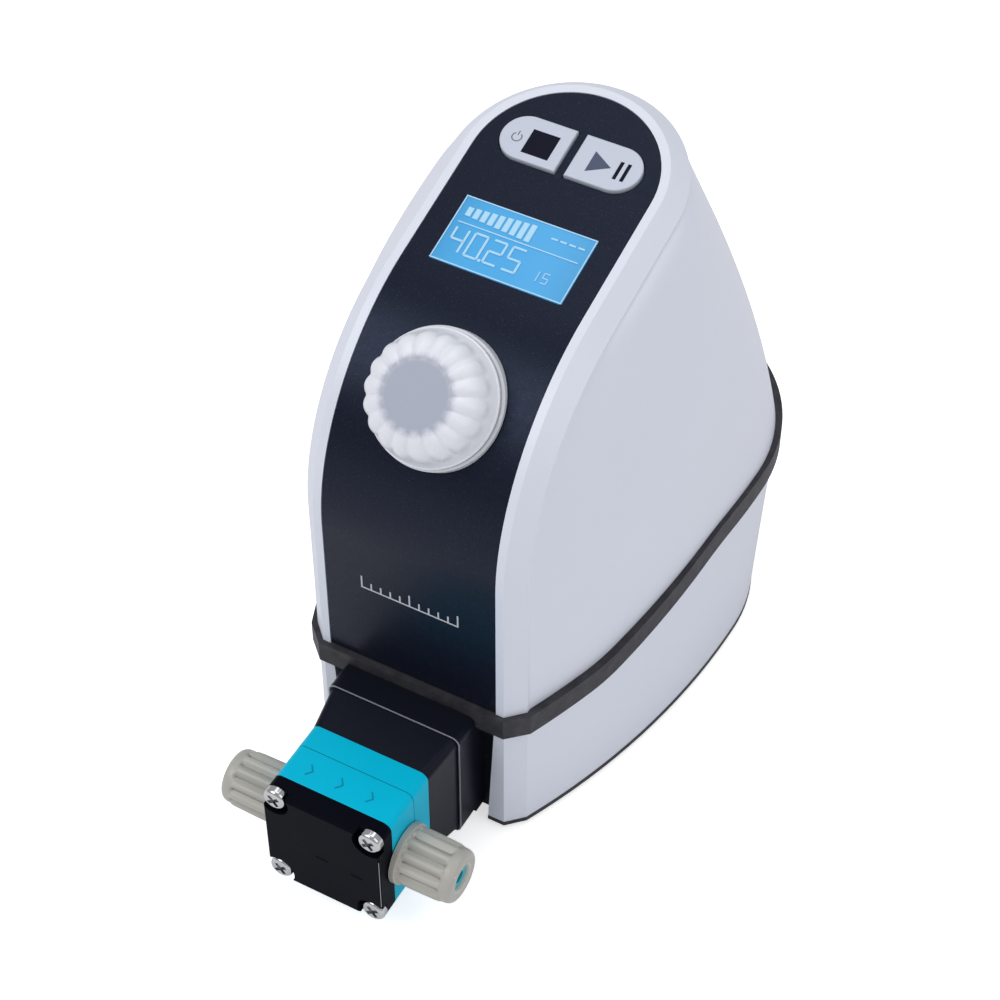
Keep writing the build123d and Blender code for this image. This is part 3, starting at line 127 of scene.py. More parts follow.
class Graph:
    """The node tree of one material."""

    def __init__(self, name: str) -> None:
        """Make an empty material with a Principled shader and an output.

        Args:
            name: Name of the material.
        """
        self.material = bpy.data.materials.new(name)
        self.material.use_nodes = True
        self.tree = self.material.node_tree
        self.tree.nodes.clear()
        self.shader = self.node("ShaderNodeBsdfPrincipled")
        self.output = self.node("ShaderNodeOutputMaterial")
        self.tree.links.new(self.shader.outputs["BSDF"], self.output.inputs["Surface"])
        self.place = self.node("ShaderNodeTexCoord").outputs["Object"]

    def node(self, kind: str, settings: dict[str, Any] | None = None,
             inputs: dict[Any, Any] | None = None) -> bpy.types.Node:
        """Make a node, its settings first and then its sockets.

        Args:
            kind: Type of the node.
            settings: Properties such as an operation, or stops for a ramp.
            inputs: Values, sockets or Values by the input's name or index.

        Returns:
            The new node.
        """
        made = self.tree.nodes.new(kind)
        for key, setting in (settings or {}).items():
            if key == "stops":
                ramp = made.color_ramp
                while len(ramp.elements) < len(setting):
                    ramp.elements.new(0.5)
                for element, (position, level) in zip(ramp.elements, setting):
                    element.position = position
                    element.color = (level, level, level, 1.0)
            else:
                setattr(made, key, setting)
        for key, given in (inputs or {}).items():
            socket = made.inputs[key]
            if isinstance(given, Value):
                given = given.socket
            if isinstance(given, bpy.types.NodeSocket):
                self.tree.links.new(given, socket)
            else:
                socket.default_value = given
        return made

    def value(self, kind: str, output: Any, settings: dict[str, Any] | None = None,
              inputs: dict[Any, Any] | None = None) -> Value:
        """Make a node and take one of its outputs as a number.

        Args:
            kind: Type of the node.
            output: Name or index of the output.
            settings: As for node.
            inputs: As for node.

        Returns:
            The output as a Value.
        """
        return Value(self, self.node(kind, settings, inputs).outputs[output])

    def noise(self, size_mm: float, detail: float = 2.0,
              stretch: Sequence[float] = (1, 1, 1)) -> Value:
        """Noise with features of about a size.

        Args:
            size_mm: Size of a feature in millimetres.
            detail: Octaves.
            stretch: Factors on the three axes' frequencies.

        Returns:
            Noise from 0 to 1.
        """
        mapping = self.node("ShaderNodeMapping", None, {"Vector": self.place, "Scale": stretch})
        return self.value("ShaderNodeTexNoise", "Fac", None,
                          {"Vector": mapping.outputs[0], "Scale": 1 / (MM * size_mm),
                           "Detail": detail})

    def cells(self, size_mm: float) -> Value:
        """Distance to the nearest cell centre, for a spark-eroded grain.

        Args:
            size_mm: Size of a cell.

        Returns:
            Distance from 0 to about 1.
        """
        return self.value("ShaderNodeTexVoronoi", "Distance", None,
                          {"Vector": self.place, "Scale": 1 / (MM * size_mm)})

    def axis(self, name: str) -> Value:
        """One coordinate of the surface point in metres."""
        return self.value("ShaderNodeSeparateXYZ", name, None, {0: self.place})

    def step(self, given: Value, low: float, high: float) -> Value:
        """Smooth rise from 0 to 1.

        Args:
            given: The value to test.
            low: Where the rise starts.
            high: Where it ends.

        Returns:
            The rise.
        """
        return self.value("ShaderNodeMapRange", 0, {"interpolation_type": "SMOOTHSTEP"},
                          {"Value": given, "From Min": low, "From Max": high})

    def mix(self, share: Any, first: Any, second: Any) -> bpy.types.NodeSocket:
        """Mix two colours.

        Args:
            share: Share of the second colour.
            first: First colour or socket.
            second: Second colour or socket.

        Returns:
            The colour socket.
        """
        ends = [(*c, 1.0) if isinstance(c, tuple) and len(c) == 3 else c for c in (first, second)]
        made = self.node("ShaderNodeMix", {"data_type": "RGBA"}, {0: share, 6: ends[0], 7: ends[1]})
        return made.outputs[2]

    def bend(self) -> Value:
        """Curvature of the surface: 0.5 where it is flat, more where it bulges, less where it dips.
        """
        return Value(self, self.node("ShaderNodeNewGeometry").outputs["Pointiness"])

    def edge_dust_and_highlight(self, radius_mm: float) -> Value:
        """Mask of the convex edges, used for dust and for painted highlights.

        Args:
            radius_mm: Width of the band.

        Returns:
            1 on an edge, 0 on a face.
        """
        return self.step(self.bend(), 0.52, 0.52 + 0.06 * radius_mm)

    def emboss(self, height: Value, depth_mm: float, strength: float = 1.0) -> None:
        """Feed a height to the shader's normal.

        Args:
            height: Height from 0 to 1.
            depth_mm: Real height of the relief.
            strength: Strength of the bump.
        """
        bump = self.node("ShaderNodeBump", None,
                         {"Strength": strength, "Distance": depth_mm * MM, "Height": height})
        self.tree.links.new(bump.outputs[0], self.shader.inputs["Normal"])

    def set(self, **inputs: Any) -> None:
        """Set the shader's sockets; underscores stand for spaces."""
        for key, given in inputs.items():
            socket = self.shader.inputs[key.replace("_", " ")]
            if isinstance(given, Value):
                given = given.socket
            if isinstance(given, bpy.types.NodeSocket):
                self.tree.links.new(given, socket)
            else:
                socket.default_value = given


def shade(colour: Colour, factor: float) -> Colour:
    """A lighter or darker copy of a colour.

    Args:
        colour: Linear colour.
        factor: Factor on each channel.

    Returns:
        The new colour.
    """
    return tuple(min(1.0, channel * factor) for channel in colour)


# ------------------------------------------------------------------ finishes
@dataclass(frozen=True)
class Finish:
    """What all finishes share."""

    colour: Colour
    roughness: float

    def dress(self, graph: Graph) -> None:
        """Fill in the graph; each finish has its own way."""
        raise NotImplementedError

    def build(self, name: str) -> bpy.types.Material:
        """Make the material.

        Args:
            name: Name of the material.

        Returns:
            The material.
        """
        graph = Graph(name)
        self.dress(graph)
        return graph.material


@dataclass(frozen=True)
class MouldedPlastic(Finish):
    """Moulded plastic with a fine spark-eroded grain and slight clouding."""

    grain_mm: float = 0.35
    relief_mm: float = 0.01
    clouding: float = 0.03
    coat: float = 0.0
    specular: float = 0.5
    tint: Colour = (1.0, 1.0, 1.0)

    def dress(self, graph: Graph) -> None:
        """Clouded colour, uneven gloss and a fine grain."""
        cloud = graph.noise(18.0, 3.0)
        grain = graph.noise(self.grain_mm, 2.0)
        colour = graph.mix(cloud, shade(self.colour, 1 - self.clouding),
                           shade(self.colour, 1 + self.clouding))
        uneven = (grain - 0.5) * 0.10 + (cloud - 0.5) * 0.05
        graph.set(Base_Color=colour, Roughness=uneven + self.roughness,
                  Coat_Weight=self.coat, Coat_Roughness=0.15, Specular_IOR_Level=self.specular,
                  Specular_Tint=(*self.tint, 1.0))
        graph.emboss(grain, self.relief_mm, 0.5)


@dataclass(frozen=True)
class GrainedPanel(Finish):
    """Black foil panel with a leathery spark grain; its glints are painted into the colour."""

    # pale colour painted into the grain's specks as highlights
    painted_glint: Colour = (0.03, 0.034, 0.055)
    specular: float = 0.3
    tint: Colour = (0.52, 0.64, 1.0)

    def dress(self, graph: Graph) -> None:
        """Dark colour with pale specks of painted highlight and a two-scale grain."""
        fine = graph.noise(0.32, 3.0)
        coarse = graph.noise(1.6, 2.0)
        # speck masks the painted highlights in the base colour
        speck = graph.step(fine, 0.55, 0.78)
        graph.set(Base_Color=graph.mix(speck * 0.75, self.colour, self.painted_glint),
                  Roughness=(coarse - 0.5) * 0.16 - speck * 0.08 + self.roughness,
                  Specular_IOR_Level=self.specular, Specular_Tint=(*self.tint, 1.0))
        graph.emboss(fine * 0.7 + coarse * 0.3, 0.03, 0.55)


@dataclass(frozen=True)
class PearlPlastic(Finish):
    """Pearly knob plastic, a little brighter on its convex edges as a painted highlight, and darker
    in its grooves as painted shade.
    """

    crown: Colour | None = None
    crown_mm: Point = (6.9, 9.6)

    def dress(self, graph: Graph) -> None:
        """Soft shimmer, painted highlights on the ridges, painted shade in the grooves, and a crown
        that fades outwards.
        """
        shimmer = graph.noise(0.5, 2.0)
        # painted highlight: paler colour on the convex edges
        painted_crest_highlight = graph.edge_dust_and_highlight(1.2)
        colour = graph.mix(shimmer, shade(self.colour, 0.97), shade(self.colour, 1.04))
        colour = graph.mix(painted_crest_highlight * 0.35, colour, (0.90, 0.91, 0.95))
        # painted shade: darker colour in the concave grooves
        painted_valley_shade = graph.step(0.5 - graph.bend(), 0.01, 0.08) * 0.6
        colour = graph.mix(painted_valley_shade, colour, shade(self.colour, 0.55))
        if self.crown:
            away = graph.node("ShaderNodeVectorMath", {"operation": "SUBTRACT"},
                              {0: graph.place, 1: Vector(KNOB_AT) * MM})
            square = graph.node("ShaderNodeVectorMath", {"operation": "CROSS_PRODUCT"},
                                {0: away.outputs[0], 1: KNOB_AXIS})
            reach = graph.value("ShaderNodeVectorMath", "Value", {"operation": "LENGTH"},
                                {0: square.outputs[0]})
            fade = graph.step(reach, self.crown_mm[0] * MM, self.crown_mm[1] * MM)
            colour = graph.mix(fade, self.crown, colour)
        uneven = (shimmer - 0.5) * 0.08 - painted_crest_highlight * 0.1
        graph.set(Base_Color=colour, Roughness=uneven + self.roughness,
                  Sheen_Weight=0.05, Coat_Weight=0.1, Coat_Roughness=0.25)
        graph.emboss(shimmer, 0.008, 0.4)


@dataclass(frozen=True)
class RibbedPlastic(Finish):
    """Natural plastic of the union nuts, with painted highlights on the ribs' tops and painted
    shade between the ribs.
    """

    # painted highlight and painted shade colours for the ribs and the grooves between them
    painted_crest_highlight: Colour = (0.62, 0.60, 0.54)
    painted_hollow_shade: Colour = (0.17, 0.17, 0.16)

    def dress(self, graph: Graph) -> None:
        """Colour follows the curvature as painted highlights on the ribs and painted shade between
        them, with a faint cloud and grain.
        """
        bend = graph.bend()
        cloud = graph.noise(4.0, 3.0)
        grain = graph.noise(0.4, 2.0)
        colour = graph.mix(cloud, shade(self.colour, 0.93), shade(self.colour, 1.06))
        # painted highlight on the convex ribs, painted shade in the grooves
        colour = graph.mix(graph.step(bend, 0.505, 0.56) * 0.8, colour, self.painted_crest_highlight)
        colour = graph.mix(graph.step(0.5 - bend, 0.01, 0.06) * 0.85, colour, self.painted_hollow_shade)
        graph.set(Base_Color=colour, Roughness=(grain - 0.5) * 0.1 + self.roughness,
                  Coat_Weight=0.1, Coat_Roughness=0.3)
        graph.emboss(grain, 0.012, 0.5)


@dataclass(frozen=True)
class BacklitGlass(Finish):
    """Blue display: the light falls off towards its ends, under clear gloss."""

    half_width_mm: float = 16.3
    pixel_mm: float = 0.26

    def dress(self, graph: Graph) -> None:
        """Blue with a soft fall-off and the pixel raster."""
        across = graph.axis("X") * (1.0 / (self.half_width_mm * MM))
        falloff = graph.step(across * across, 0.2, 1.15)
        half_pixel = self.pixel_mm * MM / 2
        raster = graph.value("ShaderNodeMath", 0, {"operation": "PINGPONG"},
                             {0: graph.axis("X"), 1: half_pixel}) * (1 / half_pixel)
        lines = graph.step(raster, 0.0, 0.16)
        blue = graph.mix(falloff, self.colour, shade(self.colour, 0.86))
        blue = graph.mix(lines, graph.mix(0.04, blue, (0.9, 0.95, 1.0)), blue)
        graph.set(Base_Color=blue, Roughness=self.roughness, Emission_Color=blue,
                  Emission_Strength=0.15, Specular_IOR_Level=0.25, Coat_Weight=0.15,
                  Coat_Roughness=0.05)


@dataclass(frozen=True)
class PrintedInk(Finish):
    """Thin printed or lit mark with slightly uneven density."""

    glow: float = 0.0
    specular: float = 0.15

    def dress(self, graph: Graph) -> None:
        """Ink density follows a fine noise."""
        density = graph.noise(0.25, 2.0)
        ink = graph.mix(density, shade(self.colour, 0.9), shade(self.colour, 1.06))
        graph.set(Base_Color=ink, Roughness=(density - 0.5) * 0.1 + self.roughness,
                  Emission_Color=ink, Emission_Strength=self.glow, Specular_IOR_Level=self.specular)


@dataclass(frozen=True)
class WorkedMetal(Finish):
    """Metal with fine tool marks along one axis."""

    lay: tuple[float, float, float] = (1.0, 14.0, 14.0)
    mark_mm: float = 1.4

    def dress(self, graph: Graph) -> None:
        """Streaks in gloss and relief, faint stains."""
        marks = graph.noise(self.mark_mm, 3.0, self.lay)
        stain = graph.noise(5.0, 3.0)
        colour = graph.mix(stain, shade(self.colour, 0.88), shade(self.colour, 1.08))
        graph.set(Base_Color=colour, Metallic=1.0,
                  Roughness=(marks - 0.5) * 0.18 + (stain - 0.5) * 0.08 + self.roughness)
        graph.emboss(marks, 0.01, 0.5)


@dataclass(frozen=True)
class CastAlloy(Finish):
    """Cast light alloy with a pebbled skin."""

    def dress(self, graph: Graph) -> None:
        """Pebbles from cells and noise."""
        pebbles = graph.cells(0.9)
        cloud = graph.noise(6.0, 3.0)
        colour = graph.mix(cloud, shade(self.colour, 0.85), shade(self.colour, 1.08))
        graph.set(Base_Color=colour, Metallic=0.9,
                  Roughness=(cloud - 0.5) * 0.15 + self.roughness)
        graph.emboss(pebbles, 0.04, 0.5)


@dataclass(frozen=True)
class Elastomer(Finish):
    """Black rubber: matt, faintly dusty on the edges."""

    specular: float = 0.25

    def dress(self, graph: Graph) -> None:
        """Dust on the crests, fine grain."""
        grain = graph.noise(0.4, 2.0)
        dust = graph.edge_dust_and_highlight(1.0) * graph.noise(3.0, 2.0)
        graph.set(Base_Color=graph.mix(dust * 0.35, self.colour, (0.16, 0.16, 0.17)),
                  Roughness=(grain - 0.5) * 0.12 + self.roughness, Specular_IOR_Level=self.specular)
        graph.emboss(grain, 0.02, 0.6)


@dataclass(frozen=True)
class Laminate(Finish):
    """Green circuit laminate with tracks under the lacquer."""

    track: Colour = (0.06, 0.27, 0.11)

    def dress(self, graph: Graph) -> None:
        """Tracks as thresholded cells."""
        weave = graph.noise(0.5, 1.0)
        blocks = graph.value("ShaderNodeTexVoronoi", "Distance", {"distance": "CHEBYCHEV"},
                             {"Vector": graph.place, "Scale": 420.0})
        tracks = graph.step(blocks, 0.30, 0.34)
        graph.set(Base_Color=graph.mix(tracks, self.track, self.colour),
                  Roughness=(weave - 0.5) * 0.1 + self.roughness, Coat_Weight=0.3)
        graph.emboss(tracks, 0.02, 0.4)


# ------------------------------------------------------------------ making and dressing pieces
@dataclass
class Bench:
    """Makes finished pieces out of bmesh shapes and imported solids."""

    materials: dict[str, bpy.types.Material]

    def lay(self, name: str, shape: bmesh.types.BMesh, body: Body, slot: str, material: str,
            smooth_deg: float = 30.0) -> bpy.types.Object:
        """Turn a shape in metres into a piece that rides on a body.

        Args:
            name: Name of the piece.
            shape: The shape, freed here.
            body: Body that it rides on.
            slot: Record slot of the piece; not used.
            material: Key of its material.
            smooth_deg: Edges sharper than this stay sharp.

        Returns:
            The new object.
        """
        mesh = bpy.data.meshes.new(name)
        self.soften(shape, smooth_deg)
        shape.to_mesh(mesh)
        shape.free()
        made = bpy.data.objects.new(name, mesh)
        bpy.context.scene.collection.objects.link(made)
        mesh.materials.append(self.materials[material])
        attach(made, body.value)
        LOG.info("%s: %d faces", name, len(mesh.polygons))
        return made

    @staticmethod
    def soften(shape: bmesh.types.BMesh, smooth_deg: float) -> None:
        """Smooth shading apart from the sharp edges.

        Args:
            shape: The shape to change.
            smooth_deg: Edges sharper than this stay sharp.
        """
        limit = math.radians(smooth_deg)
        for face in shape.faces:
            face.smooth = True
        for edge in shape.edges:
            edge.smooth = not (len(edge.link_faces) == 2 and edge.calc_face_angle(0.0) > limit)

    def finish_node(self, node: str, material: str) -> None:
        """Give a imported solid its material.

        Args:
            node: Name of the node.
            material: Key of the material.
        """
        mesh = frame["nodes"][node].data
        mesh.materials.clear()
        mesh.materials.append(self.materials[material])
        LOG.info("%s: %s", node, material)


def tilted(origin: Vector, across: Vector, up: Vector) -> Matrix:
    """Frame whose x runs across, y up the face and z out of it, in metres.

    Args:
        origin: Origin in millimetres.
        across: Direction of x.
        up: Direction of y.

    Returns:
        Matrix from local millimetres to metres.
    """
    out = across.cross(up)
    turn = Matrix((across, up, out)).transposed().to_4x4()
    return Matrix.Scale(MM, 4) @ Matrix.Translation(origin) @ turn


def slope_place(up_mm: float = 0.0, out_mm: float = 0.0) -> Matrix:
    """Frame on the sloping top of the panel, measured from the display's middle.

    Args:
        up_mm: Distance up the slope.
        out_mm: Distance out of the panel's surface.

    Returns:
        The frame.
    """
    end_y = PANEL_Y + BEND_RADIUS * (1 - math.cos(LEAN))
    end_z = GROUND_GAP + BEND_RISE + BEND_RADIUS * math.sin(LEAN)
    y = PANEL_Y + DISPLAY_REACH
    z = end_z + (y - end_y) / math.tan(LEAN)
    up = Vector((0, math.sin(LEAN), math.cos(LEAN)))
    out = Vector((0, -math.cos(LEAN), math.sin(LEAN)))
    return tilted(Vector((0, y, z)) + up * up_mm + out * out_mm, Vector((1, 0, 0)), up)


def facing(depth: float, height: float) -> Matrix:
    """Upright frame that faces forwards.

    Args:
        depth: Its place from the panel plane.
        height: Its height above the base plate.

    Returns:
        The frame.
    """
    origin = Vector((0, PANEL_Y + depth, GROUND_GAP + height))
    return tilted(origin, Vector((1, 0, 0)), Vector((0, 0, 1)))


def slab(shape: bmesh.types.BMesh, outline: Sequence[Point], thick: float, place: Matrix) -> None:
    """Add a flat slab with a given outline.

    Args:
        shape: The shape that gets it.
        outline: Corner points in order, anticlockwise, in millimetres.
        thick: Thickness in millimetres, out of the frame's plane.
        place: Frame of the outline.
    """
    corners = [shape.verts.new((x, y, 0.0)) for x, y in outline]
    base = shape.faces.new(corners)
    grown = bmesh.ops.extrude_face_region(shape, geom=[base])["geom"]
    top = [item for item in grown if isinstance(item, bmesh.types.BMVert)]
    bmesh.ops.translate(shape, verts=top, vec=(0, 0, thick))
    base.normal_flip()
    bmesh.ops.transform(shape, matrix=place, verts=corners + top)


def oblong(shape: bmesh.types.BMesh, centre: Point, size: Point, thick: float, place: Matrix,
           turn_deg: float = 0.0) -> None:
    """Add a rectangular slab.

    Args:
        shape: The shape that gets it.
        centre: Middle in millimetres.
        size: Width and height.
        thick: Thickness.
        place: Frame.
        turn_deg: Turn about the middle.
    """
    a = math.radians(turn_deg)
    corners = []
    for sx, sy in ((-1, -1), (1, -1), (1, 1), (-1, 1)):
        x, y = sx * size[0] / 2, sy * size[1] / 2
        corners.append((centre[0] + x * math.cos(a) - y * math.sin(a),
                        centre[1] + x * math.sin(a) + y * math.cos(a)))
    slab(shape, corners, thick, place)


def ring_arc(shape: bmesh.types.BMesh, centre: Point, radius: float, width: float, span: Point,
             thick: float, place: Matrix, steps: int = 24) -> None:
    """Add a flat curved strip.

    Args:
        shape: The shape that gets it.
        centre: Centre of the arc.
        radius: Middle radius.
        width: Width of the strip.
        span: First and last angle in degrees.
        thick: Thickness.
        place: Frame.
        steps: Straight pieces along the arc.
    """
    angles = [math.radians(span[0] + (span[1] - span[0]) * i / steps) for i in range(steps + 1)]
    outline = [(centre[0] + reach * math.cos(a), centre[1] + reach * math.sin(a))
               for reach, side in ((radius + width / 2, angles), (radius - width / 2, angles[::-1]))
               for a in side]
    slab(shape, outline, thick, place)


def hoop(shape: bmesh.types.BMesh, half: float, corner: float, width: float, thick: float,
         place: Matrix, steps: int = 6) -> None:
    """Add a flat square frame with rounded corners.

    Args:
        shape: The shape that gets it.
        half: Half of its outer side.
        corner: Radius of its outer corners.
        width: Width of the strip.
        thick: Thickness.
        place: Frame.
        steps: Straight pieces round a corner.
    """
    loops = []
    for inset, height in ((0.0, 0.0), (0.0, thick), (width, thick), (width, 0.0)):
        loop = []
        for quarter, (sx, sy) in enumerate(((1, 1), (-1, 1), (-1, -1), (1, -1))):
            for i in range(steps + 1):
                a = math.pi / 2 * (quarter + i / steps)
                x = sx * (half - corner) + (corner - inset) * math.cos(a)
                y = sy * (half - corner) + (corner - inset) * math.sin(a)
                loop.append(shape.verts.new((x, y, height)))
        loops.append(loop)
    count = len(loops[0])
    for first, second in zip(loops, loops[1:] + loops[:1]):
        for i in range(count):
            shape.faces.new((first[i], first[(i + 1) % count], second[(i + 1) % count], second[i]))
    corners = [vert for loop in loops for vert in loop]
    bmesh.ops.transform(shape, matrix=place, verts=corners)
    bmesh.ops.recalc_face_normals(shape, faces=list(shape.faces))


def flow(points: Sequence[Sequence[float]], pieces: int) -> list[tuple[float, ...]]:
    """Smooth line through points of any dimension.

    Args:
        points: Points to pass through.
        pieces: Steps from one point to the next.

    Returns:
        The sampled line with both ends.
    """
    ends = [points[0], *points, points[-1]]
    line = []
    for before, start, stop, after in zip(ends, ends[1:], ends[2:], ends[3:]):
        for i in range(pieces):
            t = i / pieces
            line.append(tuple(0.5 * (2 * b + (c - a) * t + (2 * a - 5 * b + 4 * c - d) * t * t
                                     + (3 * b - a - 3 * c + d) * t ** 3)
                              for a, b, c, d in zip(before, start, stop, after)))
    return line + [tuple(points[-1])]


@dataclass
class Turning:
    """A turned piece with rounded ribs round its axis."""

    outer: Sequence[tuple[float, float, float]]    # radius, height and share of the relief
    inner: Sequence[Point]                         # radius and height, with sharp corners
    ribs: int
    relief: float
    fullness: float = 0.7
    base: float = 0.55
    softness: float = 0.02
    phase_deg: float = 0.0
    steps: int = 360
    pieces: int = 4

    def build(self, place: Matrix) -> bmesh.types.BMesh:
        """Spin the section and raise the ribs.

        Args:
            place: Frame whose z is the axis.

        Returns:
            The shape in metres.
        """
        shape = bmesh.new()
        layer = shape.verts.layers.float.new("share")
        line = flow(self.outer, self.pieces)
        line += [(radius, height, 0.0) for radius, height in self.inner]
        verts = []
        for radius, height, share in line:
            verts.append(shape.verts.new((max(0.0, radius), 0.0, height)))
            verts[-1][layer] = min(1.0, max(0.0, share))
        edges = [shape.edges.new(pair) for pair in zip(verts, verts[1:])]
        bmesh.ops.spin(shape, geom=verts + edges, cent=(0, 0, 0), axis=(0, 0, 1), angle=math.tau,
                       steps=self.steps, use_merge=True)
        bmesh.ops.remove_doubles(shape, verts=list(shape.verts), dist=0.0005)
        bmesh.ops.recalc_face_normals(shape, faces=list(shape.faces))
        shape.normal_update()
        for vert in shape.verts:
            angle = math.atan2(vert.co.y, vert.co.x)
            turn = 0.5 * self.ribs * (angle - math.radians(self.phase_deg))
            wave = (math.cos(turn) ** 2 + self.softness) ** (0.5 * self.fullness) - self.base
            vert.co += vert.normal * self.relief * vert[layer] * wave
        bmesh.ops.transform(shape, matrix=place, verts=list(shape.verts))
        return shape


@dataclass
class Knob:
    """Turn-and-push knob: radial petals between a flat crown and a plain skirt."""

    outer: tuple = ((0.0, 12.1, 0.0), (4.0, 12.1, 0.0), (7.2, 12.1, 0.0), (7.9, 12.05, 0.3),
                    (8.5, 11.95, 1.0), (9.7, 11.6, 1.0), (11.0, 10.95, 1.0), (12.1, 10.05, 1.0),
                    (12.9, 9.05, 1.0), (13.4, 8.0, 1.0), (13.7, 7.1, 0.9), (13.9, 6.2, 0.55),
                    (14.1, 5.4, 0.15), (14.4, 4.5, 0.0), (14.75, 3.6, 0.0), (14.95, 3.15, 0.0),
                    (15.2, 2.9, 0.0), (15.3, 2.65, 0.0), (15.2, 2.25, 0.0))
    inner: tuple = ((11.1, 2.25), (11.1, 7.5), (4.8, 7.5), (4.8, 4.1), (3.0, 4.1),
                    (3.0, 9.7), (0.0, 9.7))
    petals: int = 18

    def build(self, bench: Bench) -> None:
        """Make the knob in place of the plain one."""
        up = Vector(KNOB_AXIS)
        across = Vector((1, 0, 0))
        place = tilted(Vector(KNOB_AT), across, up.cross(across))
        shape = Turning(self.outer, self.inner, self.petals, relief=0.85, fullness=0.85, base=0.55,
                        softness=0.035, phase_deg=8.0).build(place)
        made = bench.lay("knob_petals", shape, Body.KNOB, "knob_pearl", "knob_pearl", 50.0)
        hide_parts("knob")


@dataclass
class UnionNuts:
    """Ribbed union nuts on the two ports."""

    start: float = 15.7
    outer: tuple = ((7.6, 0.0, 0.0), (7.6, 0.7, 0.0), (7.6, 1.3, 0.0), (7.45, 1.5, 0.0),
                    (7.05, 1.6, 0.0), (6.9, 1.9, 0.35), (6.9, 2.6, 1.0), (6.9, 5.0, 1.0),
                    (6.85, 8.0, 1.0), (6.8, 10.6, 1.0), (6.75, 11.9, 0.8), (6.7, 12.4, 0.25),
                    (6.65, 12.9, 0.0), (6.6, 13.8, 0.0), (6.35, 14.5, 0.0), (5.9, 14.95, 0.0),
                    (5.3, 15.1, 0.0), (3.6, 15.1, 0.0))
    inner: tuple = ((3.25, 14.8), (3.25, 11.1), (4.7, 11.1), (4.7, 0.0), (7.6, 0.0))
    ribs: int = 12

    def build(self, bench: Bench) -> None:
        """Make both nuts in place of the plain ones."""
        for side, body in ((-1, Body.INLET_NUT), (1, Body.OUTLET_NUT)):
            origin = Vector((side * self.start, PANEL_Y + PORT_Y, GROUND_GAP + HEAD_HEIGHT))
            place = tilted(origin, Vector((0, side, 0)), Vector((0, 0, 1)))
            shape = Turning(self.outer, self.inner, self.ribs, relief=1.25, fullness=1.3, base=0.8,
                            phase_deg=8.0, steps=240).build(place)
            made = bench.lay(body.value + "_ribbed", shape, body, "nut_beige", "nut_beige", 50.0)
            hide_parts(body.value)


@dataclass
class Display:
    """Figures and bar scale on the blue display."""

    wide: float = 32.6
    tall: float = 17.9
    surface: float = 0.12
    ink: float = 0.04
    figure: tuple[float, float] = (3.1, 6.2)
    stroke: float = 0.55

    SEGMENTS = {"0": "abcdef", "1": "bc", "2": "abged", "3": "abgcd", "4": "fgbc", "5": "afgcd",
                "6": "afgedc", "7": "abc", "8": "abcdefg", "9": "abcdfg"}

    def strokes(self, centre: Point, size: Point) -> dict[str, tuple[Point, Point]]:
        """Middle and size of each of a figure's seven strokes.

        Args:
            centre: Middle of the figure.
            size: Its width and height.

        Returns:
            Middle and size by the stroke's letter.
        """
        x, y = centre
        w, h = size
        s = self.stroke * h / self.figure[1]
        level = {"a": (x, y + h / 2), "g": (x, y), "d": (x, y - h / 2)}
        upright = {"f": (x - w / 2, y + h / 4), "b": (x + w / 2, y + h / 4),
                   "e": (x - w / 2, y - h / 4), "c": (x + w / 2, y - h / 4)}
        return ({letter: (middle, (w, s)) for letter, middle in level.items()}
                | {letter: (middle, (s, h / 2)) for letter, middle in upright.items()})

    def figures(self, shape: bmesh.types.BMesh, text: str, left: Point, size: Point, pitch: float,
                place: Matrix) -> None:
        """Add a row of figures.

        Args:
            shape: The shape that gets them.
            text: Digits and points.
            left: Middle of the first figure.
            size: Width and height of a figure.
            pitch: Distance from figure to figure.
            place: Frame.
        """
        x = left[0]
        for mark in text:
            if mark == ".":
                dot = self.stroke * size[1] / self.figure[1] * 1.3
                oblong(shape, (x - pitch * 0.5, left[1] - size[1] / 2), (dot, dot), self.ink, place)
                continue
            parts = self.strokes((x, left[1]), size)
            for letter in self.SEGMENTS[mark]:
                oblong(shape, *parts[letter], self.ink, place)
            x += pitch

    def build(self, bench: Bench) -> None:
        """Make the border, the figures and the bar scale."""
        place = slope_place(0.0, self.surface - 0.05)
        marks = bmesh.new()
        self.figures(marks, "40.25", (-12.6, -2.6), self.figure, 4.7, place)
        self.figures(marks, "15", (7.6, -4.4), (1.3, 2.6), 2.5, place)
        for i in range(9):
            oblong(marks, (-13.6 + i * 1.9, 5.0), (1.35, 2.4 + 0.28 * i), self.ink, place)
        for i in range(4):
            oblong(marks, (7.2 + 2.2 * i, 5.6), (1.6, 0.45), self.ink, place)
        oblong(marks, (0, 1.9), (29.6, 0.28), self.ink, place)
        bench.lay("display_figures", marks, Body.HOUSING, "display_glass", "lit_figures")
        border = bmesh.new()
        half_w, half_h = self.wide / 2 - 0.22, self.tall / 2 - 0.22
        for side in (-1, 1):
            oblong(border, (0, side * half_h), (self.wide - 0.02, 0.3), self.ink, place)
            oblong(border, (side * half_w, 0), (0.3, self.tall - 0.9), self.ink, place)
        bench.lay("display_border", border, Body.HOUSING, "display_glass", "lit_figures")


